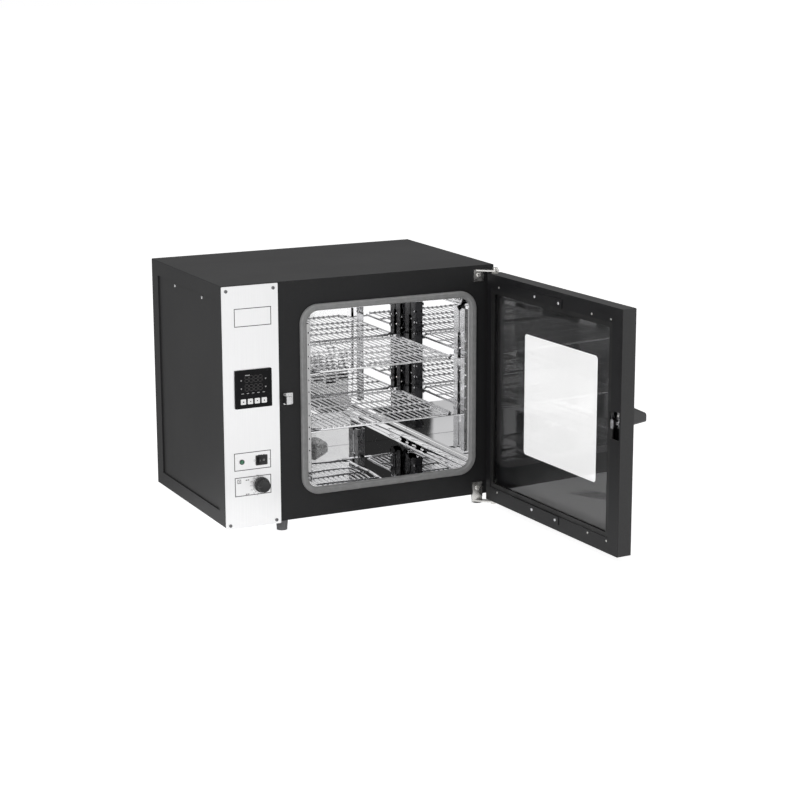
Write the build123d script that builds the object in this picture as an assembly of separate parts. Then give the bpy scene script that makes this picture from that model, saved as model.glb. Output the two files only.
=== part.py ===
from build123d import *
import os
from math import atan2, cos, degrees, pi, radians, sin, sqrt

# Bench-top forced-air drying oven, millimetres.
# X runs across the front (left to right), Y runs from the front face to the back, Z is up.
# The pieces are drawn from a point on the floor, in the plane of the front face and on the
# cabinet's centre line. They are exported from the middle of the whole object's footprint, with
# the door standing open, so the origin lies on the floor at the centre of its bounding box.

# ---------------------------------------------------------------- driving dimensions
CAB_W = 625.0            # cabinet width
CAB_D = 408.0            # cabinet depth without the door
CAB_H = 505.0            # cabinet height without the feet
FOOT_H = 22.0            # height of the feet
SHEET = 1.2              # casing sheet
FRONT_T = 1.5            # front frame sheet

X_RIGHT = CAB_W / 2
X_LEFT = -CAB_W / 2
Z_BASE = FOOT_H
Z_TOP = FOOT_H + CAB_H

# control strip
STRIP_W = 123.5          # stainless control panel width
STRIP_T = 2.0            # and thickness
STRIP_DROP = 3.5         # how far it hangs below the front frame
X_STRIP = X_LEFT + STRIP_W

# chamber
CH_W = 380.0             # inside width
CH_H = 374.0             # inside height
CH_D = 300.0             # front face to the back baffle
CH_X = 64.0              # centre of the chamber across the front
CH_Z = 273.0             # centre of the chamber above the floor
CH_R = 25.0              # corner radius
LINER_T = 1.0
PLENUM_D = 28.0          # fan space behind the baffle
INSUL = 48.0             # insulation thickness at the sides

# door, described shut; it is exported standing open
DOOR_W = 497.0
DOOR_H = 498.0
DOOR_T = 32.0
DOOR_GAP = 9.0           # inner face to the front frame when shut
DOOR_SHEET = 1.5
DOOR_X1 = X_RIGHT - 0.5  # hinge edge
DOOR_X0 = DOOR_X1 - DOOR_W
DOOR_Z0 = 13.5
DOOR_Z1 = DOOR_Z0 + DOOR_H
DOOR_IN = -DOOR_GAP      # y of the inner face
DOOR_OUT = DOOR_IN - DOOR_T
DOOR_XM = (DOOR_X0 + DOOR_X1) / 2
OPEN_ANGLE = 92.7        # how far the door stands open

# hinge line
PIN_X = 304.0
PIN_Y = -23.0
PIN_R = 4.0

# latch
LATCH_X = -162.0
LATCH_Z = 286.0

# middle of the footprint, seen from the point that the pieces are drawn from
ORIGIN_X = 35.905
ORIGIN_Y = -42.96

# fit and contact gaps
SLIDE_GAP = 0.3
PIN_GAP = 0.05


# ---------------------------------------------------------------- helpers
def block(x0, x1, y0, y1, z0, z1):
    """Box between two corners."""
    middle = Pos((x0 + x1) / 2, (y0 + y1) / 2, (z0 + z1) / 2)
    return middle * Box(abs(x1 - x0), abs(y1 - y0), abs(z1 - z0))


def slab(cx, cz, width, height, y0, y1, radius=0.0):
    """Upright plate seen from the front: centre, size, front and back y, corner radius."""
    face = Plane(origin=(cx, y1, cz), x_dir=(1, 0, 0), z_dir=(0, -1, 0))
    outline = RectangleRounded(width, height, radius) if radius else Rectangle(width, height)
    return extrude(face * outline, y1 - y0)


def side_slab(cy, cz, depth, height, x0, x1, radius=0.0):
    """Upright plate seen from the side."""
    face = Plane(origin=(x0, cy, cz), x_dir=(0, 1, 0), z_dir=(1, 0, 0))
    outline = RectangleRounded(depth, height, radius) if radius else Rectangle(depth, height)
    return extrude(face * outline, x1 - x0)


def rod_y(x, z, y0, y1, radius):
    """Round bar along Y."""
    return Pos(x, (y0 + y1) / 2, z) * Rot(90, 0, 0) * Cylinder(radius, abs(y1 - y0))


def rod_x(y, z, x0, x1, radius):
    """Round bar along X."""
    return Pos((x0 + x1) / 2, y, z) * Rot(0, 90, 0) * Cylinder(radius, abs(x1 - x0))


def rod_z(x, y, z0, z1, radius):
    """Round bar along Z."""
    return Pos(x, y, (z0 + z1) / 2) * Cylinder(radius, abs(z1 - z0))


def pan_screw(x, z, y, head_r=3.5, head_h=1.8, shank_r=1.6, shank=7.0):
    """Pan-head screw facing the front, its head standing on the plane y."""
    profile = Polyline((0, -head_h), (head_r * 0.55, -head_h), (head_r, -head_h * 0.45),
                       (head_r, 0), (shank_r, 0), (shank_r, shank), (0, shank), (0, -head_h))
    turned = revolve(make_face(profile), Axis.Y)
    cross = block(-0.4, 0.4, -head_h - 1, -head_h + 0.8, -head_r * 0.5, head_r * 0.5)
    cross += block(-head_r * 0.5, head_r * 0.5, -head_h - 1, -head_h + 0.8, -0.4, 0.4)
    return Pos(x, y, z) * (turned - cross)


def group(solids):
    """Several loose solids of one node."""
    return Compound(children=[s for item in solids for s in item.solids()])


# ---------------------------------------------------------------- cabinet shell
RECESS_D = 3.2                       # depth of the service-panel recess
PANEL_Y = (33.0, 372.0)              # recess, front and rear edge
PANEL_Z = (52.5, 495.0)              # recess, bottom and top edge
PANEL_LIP = 14.0
SERVICE_SCREWS = ((113.7, 487.0), (272.4, 487.0))


def outer_casing():
    """Top and both sides folded from one sheet, with the framed recess in the left side."""
    y0, y1 = FRONT_T, CAB_D - SHEET
    outer = slab(0, (Z_BASE + Z_TOP) / 2, CAB_W, CAB_H, y0, y1, 2.0)
    inside = block(X_LEFT + SHEET, X_RIGHT - SHEET, y0 - 1, y1 + 1, Z_BASE - 1, Z_TOP - SHEET)
    shell = outer - inside
    ym, zm = sum(PANEL_Y) / 2, sum(PANEL_Z) / 2
    dy, dz = PANEL_Y[1] - PANEL_Y[0], PANEL_Z[1] - PANEL_Z[0]
    x_lip = X_LEFT + RECESS_D + 1.0
    wall = side_slab(ym, zm, dy + 2 * SHEET, dz + 2 * SHEET, X_LEFT, x_lip + SHEET)
    shell = shell + wall
    shell = shell - side_slab(ym, zm, dy, dz, X_LEFT - 1, x_lip)
    shell = shell - side_slab(ym, zm, dy - 2 * PANEL_LIP, dz - 2 * PANEL_LIP, x_lip - 1, x_lip + 5)
    for y, z in SERVICE_SCREWS:
        shell = shell - rod_x(y, z, X_LEFT, x_lip + 5, 2.0)
    return shell


def left_service_panel():
    """Plate in the left recess, with a shadow gap at its top and front edges."""
    x0 = X_LEFT + RECESS_D
    y0, y1 = PANEL_Y[0] + 1.6, PANEL_Y[1] - 0.6
    z0, z1 = PANEL_Z[0] + 0.6, PANEL_Z[1] - 1.6
    plate = block(x0, x0 + 1.0, y0, y1, z0, z1)
    for y, z in SERVICE_SCREWS:
        plate = plate - rod_x(y, z, x0 - 1, x0 + 2, 2.0)
    return plate


def side_screw(y, z, x):
    """Pan-head screw facing the left, its head standing on the plane x."""
    return Pos(x, y, z) * Rot(0, 0, -90) * pan_screw(0, 0, 0, 3.6, 1.8, 1.9, 6.0)


def front_frame():
    """Front sheet with the chamber opening, the window behind the control strip and rear flanges."""
    zm = (Z_BASE + Z_TOP) / 2
    plate = slab(0, zm, CAB_W, CAB_H, 0, FRONT_T, 2.0)
    rim = slab(0, zm, CAB_W - 2 * SHEET - 0.4, CAB_H - 2 * SHEET - 0.4, FRONT_T, 14.0, 1.0)
    rim = rim - slab(0, zm, CAB_W - 4 * SHEET - 2, CAB_H - 4 * SHEET - 2, 0, 20.0)
    frame = plate + rim
    frame = frame - slab(CH_X, CH_Z, CH_W + 4, CH_H + 4, -1, 20, CH_R + 2)
    strip_x = (X_LEFT + X_STRIP) / 2
    frame = frame - slab(strip_x, zm, STRIP_W - 36, CAB_H - 60, -1, 20, 4)
    for x, z in PANEL_SCREWS:
        frame = frame - rod_y(x, z, -1, 20, 1.8)
    for x, z in HINGE_SCREWS:
        frame = frame - rod_y(x, z, -1, 3, 3.1)
    for x, z in STRIKE_SCREWS:
        frame = frame - rod_y(x, z, -1, 3, 1.6)
    return frame


BASE_T = 1.5
FOOT_X = (-181.0, 283.0)
FOOT_Y = (14.0, 393.0)
FOOT_TIP_R = 11.0
FOOT_TOP_R = 13.0
FOOT_SEAT_R = 6.0                    # recess for the screw, open at the floor
FOOT_SEAT = 9.0


def base_pan():
    """Bottom sheet with a turned-up rim."""
    x0, x1 = X_LEFT + SHEET + 0.2, X_RIGHT - SHEET - 0.2
    y0, y1 = 14.2, CAB_D - SHEET - 0.2
    pan = block(x0, x1, y0, y1, Z_BASE, Z_BASE + BASE_T)
    rim = block(x0, x1, y0, y1, Z_BASE, Z_BASE + 14)
    rim = rim - block(x0 + BASE_T, x1 - BASE_T, y0 + BASE_T, y1 - BASE_T, Z_BASE - 1, Z_BASE + 20)
    return pan + rim


def feet():
    """Four tapered rubber feet, each with a recessed screw seat."""
    made = []
    for x in FOOT_X:
        for y in FOOT_Y:
            body = Pos(x, y, FOOT_H / 2) * Cone(FOOT_TIP_R, FOOT_TOP_R, FOOT_H)
            made.append(body - rod_z(x, y, -1, FOOT_SEAT, FOOT_SEAT_R))
    return group(made)


VENT_X = -60.0
VENT_Z = 425.0
VENT_R = 15.0
INLET_X = -240.0
INLET_Z = 92.0
FUSE_X = -185.0
MOTOR_SLOTS = (7, 12.0, 70.0)        # count, pitch and length of the slots over the motor
CONTROL_SLOTS = (9, 11.0, 60.0)      # and of those over the control space
CONTROL_VENT = (-245.0, 424.0)       # their centre
COOLING_SLOT_H = 4.0


def cooling_slots(x, z, count, pitch, length, y0, y1):
    """Stack of round-ended slots through a sheet between y0 and y1."""
    heights = [z + (i - (count - 1) / 2) * pitch for i in range(count)]
    return [slab(x, height, length, COOLING_SLOT_H, y0, y1, COOLING_SLOT_H / 2 - 0.1) for height in heights]


def rear_panel():
    """Back sheet with slots over the motor, slots for the control space and three fittings."""
    y0, y1 = CAB_D - SHEET, CAB_D
    plate = slab(0, (Z_BASE + Z_TOP) / 2, CAB_W, CAB_H, y0, y1, 2.0)
    for slot in cooling_slots(CH_X, CH_Z, *MOTOR_SLOTS, y0 - 1, y1 + 1):
        plate = plate - slot
    for slot in cooling_slots(*CONTROL_VENT, *CONTROL_SLOTS, y0 - 1, y1 + 1):
        plate = plate - slot
    plate = plate - rod_y(VENT_X, VENT_Z, y0 - 1, y1 + 1, VENT_R + 0.6)
    plate = plate - slab(INLET_X, INLET_Z, 31.4, 24.4, y0 - 1, y1 + 1)
    plate = plate - rod_y(FUSE_X, INLET_Z, y0 - 1, y1 + 1, 6.2)
    return plate


# ---------------------------------------------------------------- chamber
AIR_HOLE_Y = 216.0
AIR_HOLE_R = 3.6
AIR_HOLE_PITCH = 25.0
AIR_HOLES = 12
X_CH0 = CH_X - CH_W / 2
X_CH1 = CH_X + CH_W / 2
Z_CH0 = CH_Z - CH_H / 2
Z_CH1 = CH_Z + CH_H / 2
Y_BACK = CH_D + PLENUM_D


def air_hole_heights():
    """Heights of the air holes, centred on the chamber."""
    return [CH_Z + (i - (AIR_HOLES - 1) / 2) * AIR_HOLE_PITCH for i in range(AIR_HOLES)]


def chamber_liner():
    """Five-sided stainless box with round corners, air holes in both sides and feeds behind the baffle."""
    outer = slab(CH_X, CH_Z, CH_W + 2 * LINER_T, CH_H + 2 * LINER_T, 0, Y_BACK + LINER_T, CH_R + LINER_T)
    liner = outer - slab(CH_X, CH_Z, CH_W, CH_H, -1, Y_BACK, CH_R)
    for z in air_hole_heights():
        liner = liner - rod_x(AIR_HOLE_Y, z, X_CH0 - 5, X_CH1 + 5, AIR_HOLE_R)
    feed = block(X_CH0 - 5, X_CH1 + 5, CH_D + 6, CH_D + 22, CH_Z - 130, CH_Z + 130)
    liner = liner - feed
    liner = liner - rod_y(CH_X, CH_Z, Y_BACK - 1, Y_BACK + 5, 9.0)
    liner = liner - rod_y(VENT_X, VENT_Z, Y_BACK - 1, Y_BACK + 5, VENT_R + 0.2)
    for x in HEATER_LEGS:
        liner = liner - rod_y(x, HEATER_LEG_Z, Y_BACK - 1, Y_BACK + 5, 4.6)
    liner = liner - rod_y(PROBE_X, PROBE_Z, Y_BACK - 1, Y_BACK + 5, PROBE_R + 0.1)
    return liner


GRILLE_R = 45.0
GRILLE_PITCH = 7.9
GRILLE_ROWS = 5                      # rows above and below the middle one
SLOT_L = 24.5
SLOT_H = 3.8
SLOT_STEP = 30.5


def grille_slots():
    """Centres of the intake slots: three columns of even rows inside a circle."""
    places = []
    for row in range(-GRILLE_ROWS, GRILLE_ROWS + 1):
        z = row * GRILLE_PITCH
        for x in (-SLOT_STEP, 0.0, SLOT_STEP):
            if sqrt(x ** 2 + z ** 2) < GRILLE_R:
                places.append((CH_X + x, CH_Z + z))
    return places


def back_baffle():
    """Polished back wall with its round field of intake slots, and outlets for vent and probe."""
    wall = slab(CH_X, CH_Z, CH_W - 0.6, CH_H - 0.6, CH_D, CH_D + LINER_T, CH_R - 0.3)
    plane = Plane(origin=(0, CH_D + 2, 0), x_dir=(1, 0, 0), z_dir=(0, -1, 0))
    slots = Sketch() + [plane * Pos(x, z) * Rectangle(SLOT_L, SLOT_H) for x, z in grille_slots()]
    wall = wall - extrude(slots, 4)
    wall = wall - rod_y(VENT_X, VENT_Z, CH_D - 1, CH_D + 3, VENT_R - 2)
    wall = wall - rod_y(PROBE_X, PROBE_Z, CH_D - 1, CH_D + 3, PROBE_R + 0.1)
    return wall


DUCT_RISE = 10.0
DUCT_T = 1.0
DUCT_Y0 = AIR_HOLE_Y - 16.0
DUCT_Y1 = CH_D + 26.0
DUCT_HALF = 150.0
DUCT_REACH = LINER_T + DUCT_RISE + 0.5


def air_ducts():
    """Two shallow channels outside the liner that carry air from the fan space to the side holes."""
    made = []
    for side in (-1, 1):
        x_wall = CH_X + side * (CH_W / 2 + LINER_T)
        x_out = x_wall + side * DUCT_RISE
        duct = block(x_wall, x_out, DUCT_Y0, DUCT_Y1, CH_Z - DUCT_HALF, CH_Z + DUCT_HALF)
        hollow = block(x_wall - side, x_out - side * DUCT_T, DUCT_Y0 + DUCT_T, DUCT_Y1 - DUCT_T,
                       CH_Z - DUCT_HALF + DUCT_T, CH_Z + DUCT_HALF - DUCT_T)
        made.append(duct - hollow)
    return group(made)


LINER_CLEAR = 1.5                    # chamber wall to the boards round it
BOARD_FRONT = 15.0
BOARD_REAR = Y_BACK + LINER_T + 30.0
BOARD_SEAM = 0.4
WELL = 43.0                          # half width of the gap left for the motor
VENT_WAY = 15.5                      # and for the vent tube


def wool_board(x0, x1, y0, z0, z1):
    """One mineral-wool board, a seam's width short of its neighbours, reaching to the rear."""
    s = BOARD_SEAM / 2
    return block(x0 + s, x1 - s, y0, BOARD_REAR, z0 + s, z1 - s)


def wall_boards():
    """Boards under, over and beside the liner, the side ones hollowed for the air ducts."""
    xi, zi = CH_W / 2 + LINER_CLEAR, CH_H / 2 + LINER_CLEAR
    xo, zo = CH_W / 2 + INSUL, CH_H / 2 + INSUL
    under = wool_board(CH_X - xo, CH_X + xo, BOARD_FRONT, CH_Z - zo, CH_Z - zi)
    over = wool_board(CH_X - xo, CH_X + xo, BOARD_FRONT, CH_Z + zi, CH_Z + zo)
    left = wool_board(CH_X - xo, CH_X - xi, BOARD_FRONT, CH_Z - zi, CH_Z + zi)
    right = wool_board(CH_X + xi, CH_X + xo, BOARD_FRONT, CH_Z - zi, CH_Z + zi)
    hollow = block(X_CH0 - DUCT_REACH, X_CH1 + DUCT_REACH, DUCT_Y0 - 0.5, DUCT_Y1 + 0.5,
                   CH_Z - DUCT_HALF - 0.5, CH_Z + DUCT_HALF + 0.5)
    return [under, over, left - hollow, right - hollow]


def back_boards():
    """Boards behind the liner, set round the motor and the vent tube, with ways for heater and probe."""
    y0 = Y_BACK + LINER_CLEAR
    x0, x1 = X_CH0 - LINER_CLEAR, X_CH1 + LINER_CLEAR
    z0, z1 = Z_CH0 - LINER_CLEAR, Z_CH1 + LINER_CLEAR
    vent0, vent1 = VENT_X - VENT_WAY, VENT_X + VENT_WAY
    well0, well1 = CH_X - WELL, CH_X + WELL
    boards = [
        wool_board(x0, vent0, y0, z0, z1),
        wool_board(vent0, vent1, y0, z0, VENT_Z - VENT_WAY),
        wool_board(vent0, vent1, y0, VENT_Z + VENT_WAY, z1),
        wool_board(vent1, well0, y0, z0, z1) - rod_y(PROBE_X, PROBE_Z, y0 - 1, BOARD_REAR + 1, PROBE_R + 0.5),
        wool_board(well0, well1, y0, z0, CH_Z - WELL),
        wool_board(well1, x1, y0, z0, z1),
    ]
    over_motor = wool_board(well0, well1, y0, CH_Z + WELL, z1)
    for x in HEATER_LEGS:
        over_motor = over_motor - rod_y(x, HEATER_LEG_Z, y0 - 1, BOARD_REAR + 1, HEATER_TUBE + 2)
    return boards + [over_motor]


def insulation():
    """Mineral-wool boards round the liner and behind it."""
    return group(wall_boards() + back_boards())


GASKET_W = 13.5
GASKET_H = DOOR_GAP - 0.35


def door_gasket():
    """Silicone ring round the opening, with a rounded crown and a fixing groove line."""
    w, h, r = CH_W + 2.6, CH_H + 2.6, CH_R + 1.3
    ring = slab(CH_X, CH_Z, w + 2 * GASKET_W, h + 2 * GASKET_W, -GASKET_H, 0, r + GASKET_W)
    ring = ring - slab(CH_X, CH_Z, w, h, -GASKET_H - 1, 1, r)
    crown = ring.edges().filter_by_position(Axis.Y, -GASKET_H - 0.01, -GASKET_H + 0.01)
    return fillet(crown, 4.2)


# support strips
STRIP_Z = (121.0, 434.0)
RAIL_W = 50.0
RAIL_RISE = 8.0
RAIL_T = 1.2
RAIL_Y = (27.5, 262.0)               # centre lines of the front and rear strips
CREASE = 2.0                         # half width of the crease down the middle
SLOT_W = 14.0
SLOT_Z = (186.0, 380.0)
NOTCH = 9.0                          # depth of the V at both ends
NOTCH_HALF = 12.0
NICK_H = 3.0                         # nicks along both edges of the land
NICK_DEPTH = 5.0
NICK_PITCH = 25.0
NICKS = 12


def strip_profile():
    """Section of a strip: two side walls and a flat land with a crease, standing on the wall."""
    half = RAIL_W / 2
    top = RAIL_RISE + RAIL_T
    inner = half - RAIL_T
    outside = [(-half, 0), (-half, top), (-CREASE, top), (0, top - RAIL_T), (CREASE, top), (half, top), (half, 0)]
    inside = [(inner, 0), (inner, RAIL_RISE), (CREASE, RAIL_RISE), (0, RAIL_RISE - RAIL_T),
              (-CREASE, RAIL_RISE), (-inner, RAIL_RISE), (-inner, 0)]
    return make_face(Polyline(*(outside + inside + outside[:1])))


def strip_nicks(y, side, wall):
    """Small cuts across both edges of a strip's land."""
    face = wall - side * (RAIL_RISE + RAIL_T)
    middle = sum(STRIP_Z) / 2
    heights = [middle + (i - (NICKS - 1) / 2) * NICK_PITCH for i in range(NICKS)]
    edges = [(y - RAIL_W / 2 - 1, y - RAIL_W / 2 + RAIL_T), (y + RAIL_W / 2 - RAIL_T, y + RAIL_W / 2 + 1)]
    return [block(face + side * NICK_DEPTH, face - side, *edge, z - NICK_H / 2, z + NICK_H / 2)
            for z in heights for edge in edges]


def support_strip(y, side):
    """One folded channel: a wide flat land on two side walls, long slot, V-notched ends."""
    wall = CH_X + side * CH_W / 2
    plane = Plane(origin=(wall, y, STRIP_Z[0]), x_dir=(0, 1, 0), z_dir=(0, 0, 1))
    # local y of this plane is -X, so a strip on the right wall rises into the chamber
    strip = extrude(plane * strip_profile(), STRIP_Z[1] - STRIP_Z[0])
    if side < 0:
        strip = strip.mirror(Plane(origin=(wall, 0, 0), z_dir=(1, 0, 0)))
    zm, dz = sum(SLOT_Z) / 2, SLOT_Z[1] - SLOT_Z[0]
    strip = strip - side_slab(y, zm, SLOT_W, dz, wall - 20, wall + 20, 2)
    for cut in strip_nicks(y, side, wall):
        strip = strip - cut
    for z in STRIP_Z:
        tip = z + NOTCH if z == STRIP_Z[0] else z - NOTCH
        cut = make_face(Polyline((y - NOTCH_HALF, z), (y, tip), (y + NOTCH_HALF, z), (y + NOTCH_HALF, 2 * z - tip),
                                 (y - NOTCH_HALF, 2 * z - tip), (y - NOTCH_HALF, z)))
        yz = Plane(origin=(wall - 20, 0, 0), x_dir=(0, 1, 0), z_dir=(1, 0, 0))
        strip = strip - extrude(yz * cut, 40)
    return strip


def support_strips():
    """Four strips, two on each wall."""
    return group([support_strip(y, side) for y in RAIL_Y for side in (-1, 1)])


# shelves
SHELF_Z = (202.0, 326.0)             # height of the wire centre line of the two front rails
SHELF_X = (CH_X - 165.0, CH_X + 165.0)
SHELF_Y = (20.0, 285.0)
RAIL_R = 2.5
WIRE_R = 1.4
WIRES = 24
CORNER = 17.0                        # cut-off corners of the rim
RIM_BEND = 6.0
BAR_R = 1.9                          # cross rails under the wires
BAR_INSET = 78.0                     # outer cross rails from the front and the rear of the rim
WIRE_SINK = 1.2                      # how far a wire is welded into the rails
CLIP_T = 1.5
CLIP_W = 12.0
CLIP_REACH = 14.0                    # how far an arm reaches in under the shelf's rim
HOOK_UP = 12.0
STOP_DOWN = 16.0


def shelf_clips():
    """Bent clips, four for each shelf: a hook behind the strip, a neck through its slot and an arm."""
    made = []
    places = [(height, y, side) for height in SHELF_Z for y in RAIL_Y for side in (-1, 1)]
    for height, y, side in places:
        z = height - RAIL_R - SLIDE_GAP
        wall = CH_X + side * CH_W / 2
        face = wall - side * (RAIL_RISE + RAIL_T + SLIDE_GAP)
        root = wall - side * 1.2
        tip = CH_X + side * (CH_X - SHELF_X[0] - CLIP_REACH)
        y0, y1 = y - CLIP_W / 2, y + CLIP_W / 2
        arm = block(root, tip, y0, y1, z - CLIP_T, z)
        hook = block(root, root - side * CLIP_T, y0, y1, z - CLIP_T, z + HOOK_UP)
        stop = block(face, face - side * CLIP_T, y0, y1, z - STOP_DOWN, z)
        made.append(arm + hook + stop)
    return group(made)


def wire_shelf(level):
    """Welded wire shelf: bent rim with cut-off corners, three cross rails and lengthwise wires."""
    z = SHELF_Z[level]
    x0, x1 = SHELF_X
    y0, y1 = SHELF_Y
    c = CORNER
    corners = [(x0 + c, y0), (x1 - c, y0), (x1, y0 + c), (x1, y1 - c), (x1 - c, y1), (x0 + c, y1),
               (x0, y1 - c), (x0, y0 + c)]
    path = FilletPolyline(*[(x, y, z) for x, y in corners], radius=RIM_BEND, close=True)
    start = path @ 0
    along = path % 0
    rim = sweep(Plane(origin=start, z_dir=along) * Circle(RAIL_R), path)
    shelf = rim
    for y in (y0 + BAR_INSET, (y0 + y1) / 2, y1 - BAR_INSET):
        shelf = shelf + rod_x(y, z - 0.8, x0 + 1.5, x1 - 1.5, BAR_R)
    pitch = (x1 - x0 - 2 * c) / (WIRES - 1)
    top = z + RAIL_R + WIRE_R - WIRE_SINK
    wires = [rod_y(x0 + c + i * pitch, top, y0 - 1.5, y1 + 1.5, WIRE_R) for i in range(WIRES)]
    return shelf.fuse(*wires)


# ---------------------------------------------------------------- fan, heater, probe, vent
MOTOR_R = 39.0
HEATER_R = 100.0
HEATER_TUBE = 4.0
HEATER_LEGS = (CH_X - 14.0, CH_X + 14.0)
HEATER_LEG_Z = CH_Z + 99.0
PROBE_X = -20.0
PROBE_Z = 425.0
PROBE_R = 3.0
FAN_R = 72.0
FAN_BLADES = 24
FAN_Y0 = CH_D + 6.0
SHAFT_R = 4.0


def heater_ring():
    """Tubular heater bent round the fan wheel, its two legs leaving through the back of the liner."""
    y = CH_D + 14
    gap = degrees(atan2(HEATER_LEGS[1] - CH_X, HEATER_LEG_Z - CH_Z))
    plane = Plane(origin=(CH_X, y, CH_Z), x_dir=(1, 0, 0), z_dir=(0, -1, 0))
    arc = plane * CenterArc((0, 0), HEATER_R, 90 + gap, 360 - 2 * gap)
    tube = sweep(Plane(origin=arc @ 0, z_dir=arc % 0) * Circle(HEATER_TUBE), arc)
    for end in (arc @ 0, arc @ 1):
        tube = tube + Pos(end) * Sphere(HEATER_TUBE)
        tube = tube + rod_y(end.X, end.Z, y, Y_BACK + LINER_T + 24, HEATER_TUBE)
    return tube


def fan_wheel():
    """Radial wheel: back disc, hub and straight blades with a front shroud ring."""
    back = FAN_Y0 + 15
    wheel = rod_y(CH_X, CH_Z, back, back + 1.2, FAN_R)
    hub = rod_y(CH_X, CH_Z, FAN_Y0 + 3, back + 1.2, 11)
    shroud = rod_y(CH_X, CH_Z, FAN_Y0, FAN_Y0 + 1.2, FAN_R) - rod_y(CH_X, CH_Z, FAN_Y0 - 1, FAN_Y0 + 3, FAN_R - 22)
    wheel = wheel + hub + shroud
    blades = []
    for i in range(FAN_BLADES):
        blade = Pos(FAN_R - 14, 0, 0) * Box(26, 15.6, 1.2)
        turned = Rot(0, i * 360 / FAN_BLADES, 0) * blade
        blades.append(Pos(CH_X, FAN_Y0 + 8, CH_Z) * turned)
    wheel = wheel.fuse(*blades)
    return wheel - rod_y(CH_X, CH_Z, FAN_Y0 - 5, back + 5, SHAFT_R)


def fan_shaft():
    """Steel shaft from the motor to the wheel."""
    return rod_y(CH_X, CH_Z, FAN_Y0 + 1, MOTOR_Y0 + 20, SHAFT_R)


MOTOR_Y0 = Y_BACK + 14.0
MOTOR_L = 52.0


def fan_motor():
    """Shaded-pole motor can with a stepped nose, cooling slots and an axial bore for the shaft."""
    can = rod_y(CH_X, CH_Z, MOTOR_Y0 + 8, MOTOR_Y0 + MOTOR_L, MOTOR_R)
    rear = can.edges().filter_by(GeomType.CIRCLE).sort_by(Axis.Y)[-1]
    can = fillet(rear, 5)
    nose = rod_y(CH_X, CH_Z, MOTOR_Y0, MOTOR_Y0 + 8, 16)
    motor = can + nose
    motor = motor - rod_y(CH_X, CH_Z, MOTOR_Y0 - 1, MOTOR_Y0 + 21, SHAFT_R + PIN_GAP)
    return motor


def motor_bracket():
    """Three-armed plate that holds the motor off the back of the liner."""
    y0 = MOTOR_Y0 + 6.5
    plate = rod_y(CH_X, CH_Z, y0, y0 + 1.5, 30)
    for i in range(3):
        a = radians(90 + i * 120)
        x, z = CH_X + 33 * cos(a), CH_Z + 33 * sin(a)
        arm = Pos(CH_X + 20 * cos(a), y0 + 0.75, CH_Z + 20 * sin(a)) * Rot(0, -degrees(a), 0) * Box(40, 1.5, 14)
        post = rod_y(x, z, Y_BACK + LINER_T, y0 + 1.5, 4)
        plate = plate + arm + post
    return plate - rod_y(CH_X, CH_Z, y0 - 1, y0 + 3, 16.1)


def temperature_probe():
    """Stainless probe through the back wall, with its collar."""
    probe = rod_y(PROBE_X, PROBE_Z, CH_D - 62, Y_BACK + 26, PROBE_R)
    tip = probe.edges().filter_by(GeomType.CIRCLE).sort_by(Axis.Y)[0]
    probe = fillet(tip, 1.5)
    collar = rod_y(PROBE_X, PROBE_Z, CH_D - 4, CH_D - 0.1, 8)
    return probe + collar


def exhaust_tube():
    """Vent tube from the fan space to the back, ending in a fixed plate with two sector holes."""
    y_end = CAB_D + 9
    tube = rod_y(VENT_X, VENT_Z, CH_D + 2, y_end, VENT_R) - rod_y(VENT_X, VENT_Z, CH_D, y_end + 1, VENT_R - 1)
    flange = rod_y(VENT_X, VENT_Z, CAB_D, CAB_D + 1.5, 26) - rod_y(VENT_X, VENT_Z, CAB_D - 1, CAB_D + 3, VENT_R - 1)
    plate = rod_y(VENT_X, VENT_Z, y_end - 1.2, y_end, VENT_R)
    plate = plate - vent_windows(y_end - 3, y_end + 2)
    plate = plate - rod_y(VENT_X, VENT_Z, y_end - 3, y_end + 2, 2.55)
    return tube + flange + plate


def vent_windows(y0, y1):
    """Two opposed quarter-circle windows."""
    whole = rod_y(VENT_X, VENT_Z, y0, y1, VENT_R - 2.5) - rod_y(VENT_X, VENT_Z, y0 - 1, y1 + 1, 4.5)
    quarter = block(0, 40, y0 - 1, y1 + 1, 0, 40)
    opposite = block(-40, 0, y0 - 1, y1 + 1, -40, 0)
    return whole & (Pos(VENT_X, 0, VENT_Z) * (quarter + opposite))


GRIP_W = 6.0


def vent_shutter():
    """Rotary cap over the exhaust, with matching windows, a raised grip bar and its pivot."""
    y0 = CAB_D + 9.2
    cap = rod_y(VENT_X, VENT_Z, y0, y0 + 2, VENT_R + 4)
    cap = cap - vent_windows(y0 - 2, y0 + 4)
    bar = block(-GRIP_W / 2, GRIP_W / 2, y0 + 2, y0 + 9, -VENT_R - 2, VENT_R + 2)
    grip = Pos(VENT_X, 0, VENT_Z) * Rot(0, 45, 0) * bar
    pivot = rod_y(VENT_X, VENT_Z, y0 - 6, y0, 2.5)
    return cap + grip + pivot


# ---------------------------------------------------------------- electrics
def power_inlet():
    """Three-pole appliance inlet set in the back, with its recess and blades."""
    y = CAB_D
    body = slab(INLET_X, INLET_Z, 31, 24, y - 22, y, 3) + slab(INLET_X, INLET_Z, 50, 26, y, y + 3, 3)
    body = body - slab(INLET_X, INLET_Z, 25, 17, y - 14, y + 4, 4)
    for dx, dz in ((-7, -2), (0, 3), (7, -2)):
        body = body + slab(INLET_X + dx, INLET_Z + dz, 2, 6, y - 15, y - 1)
    return body


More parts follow.
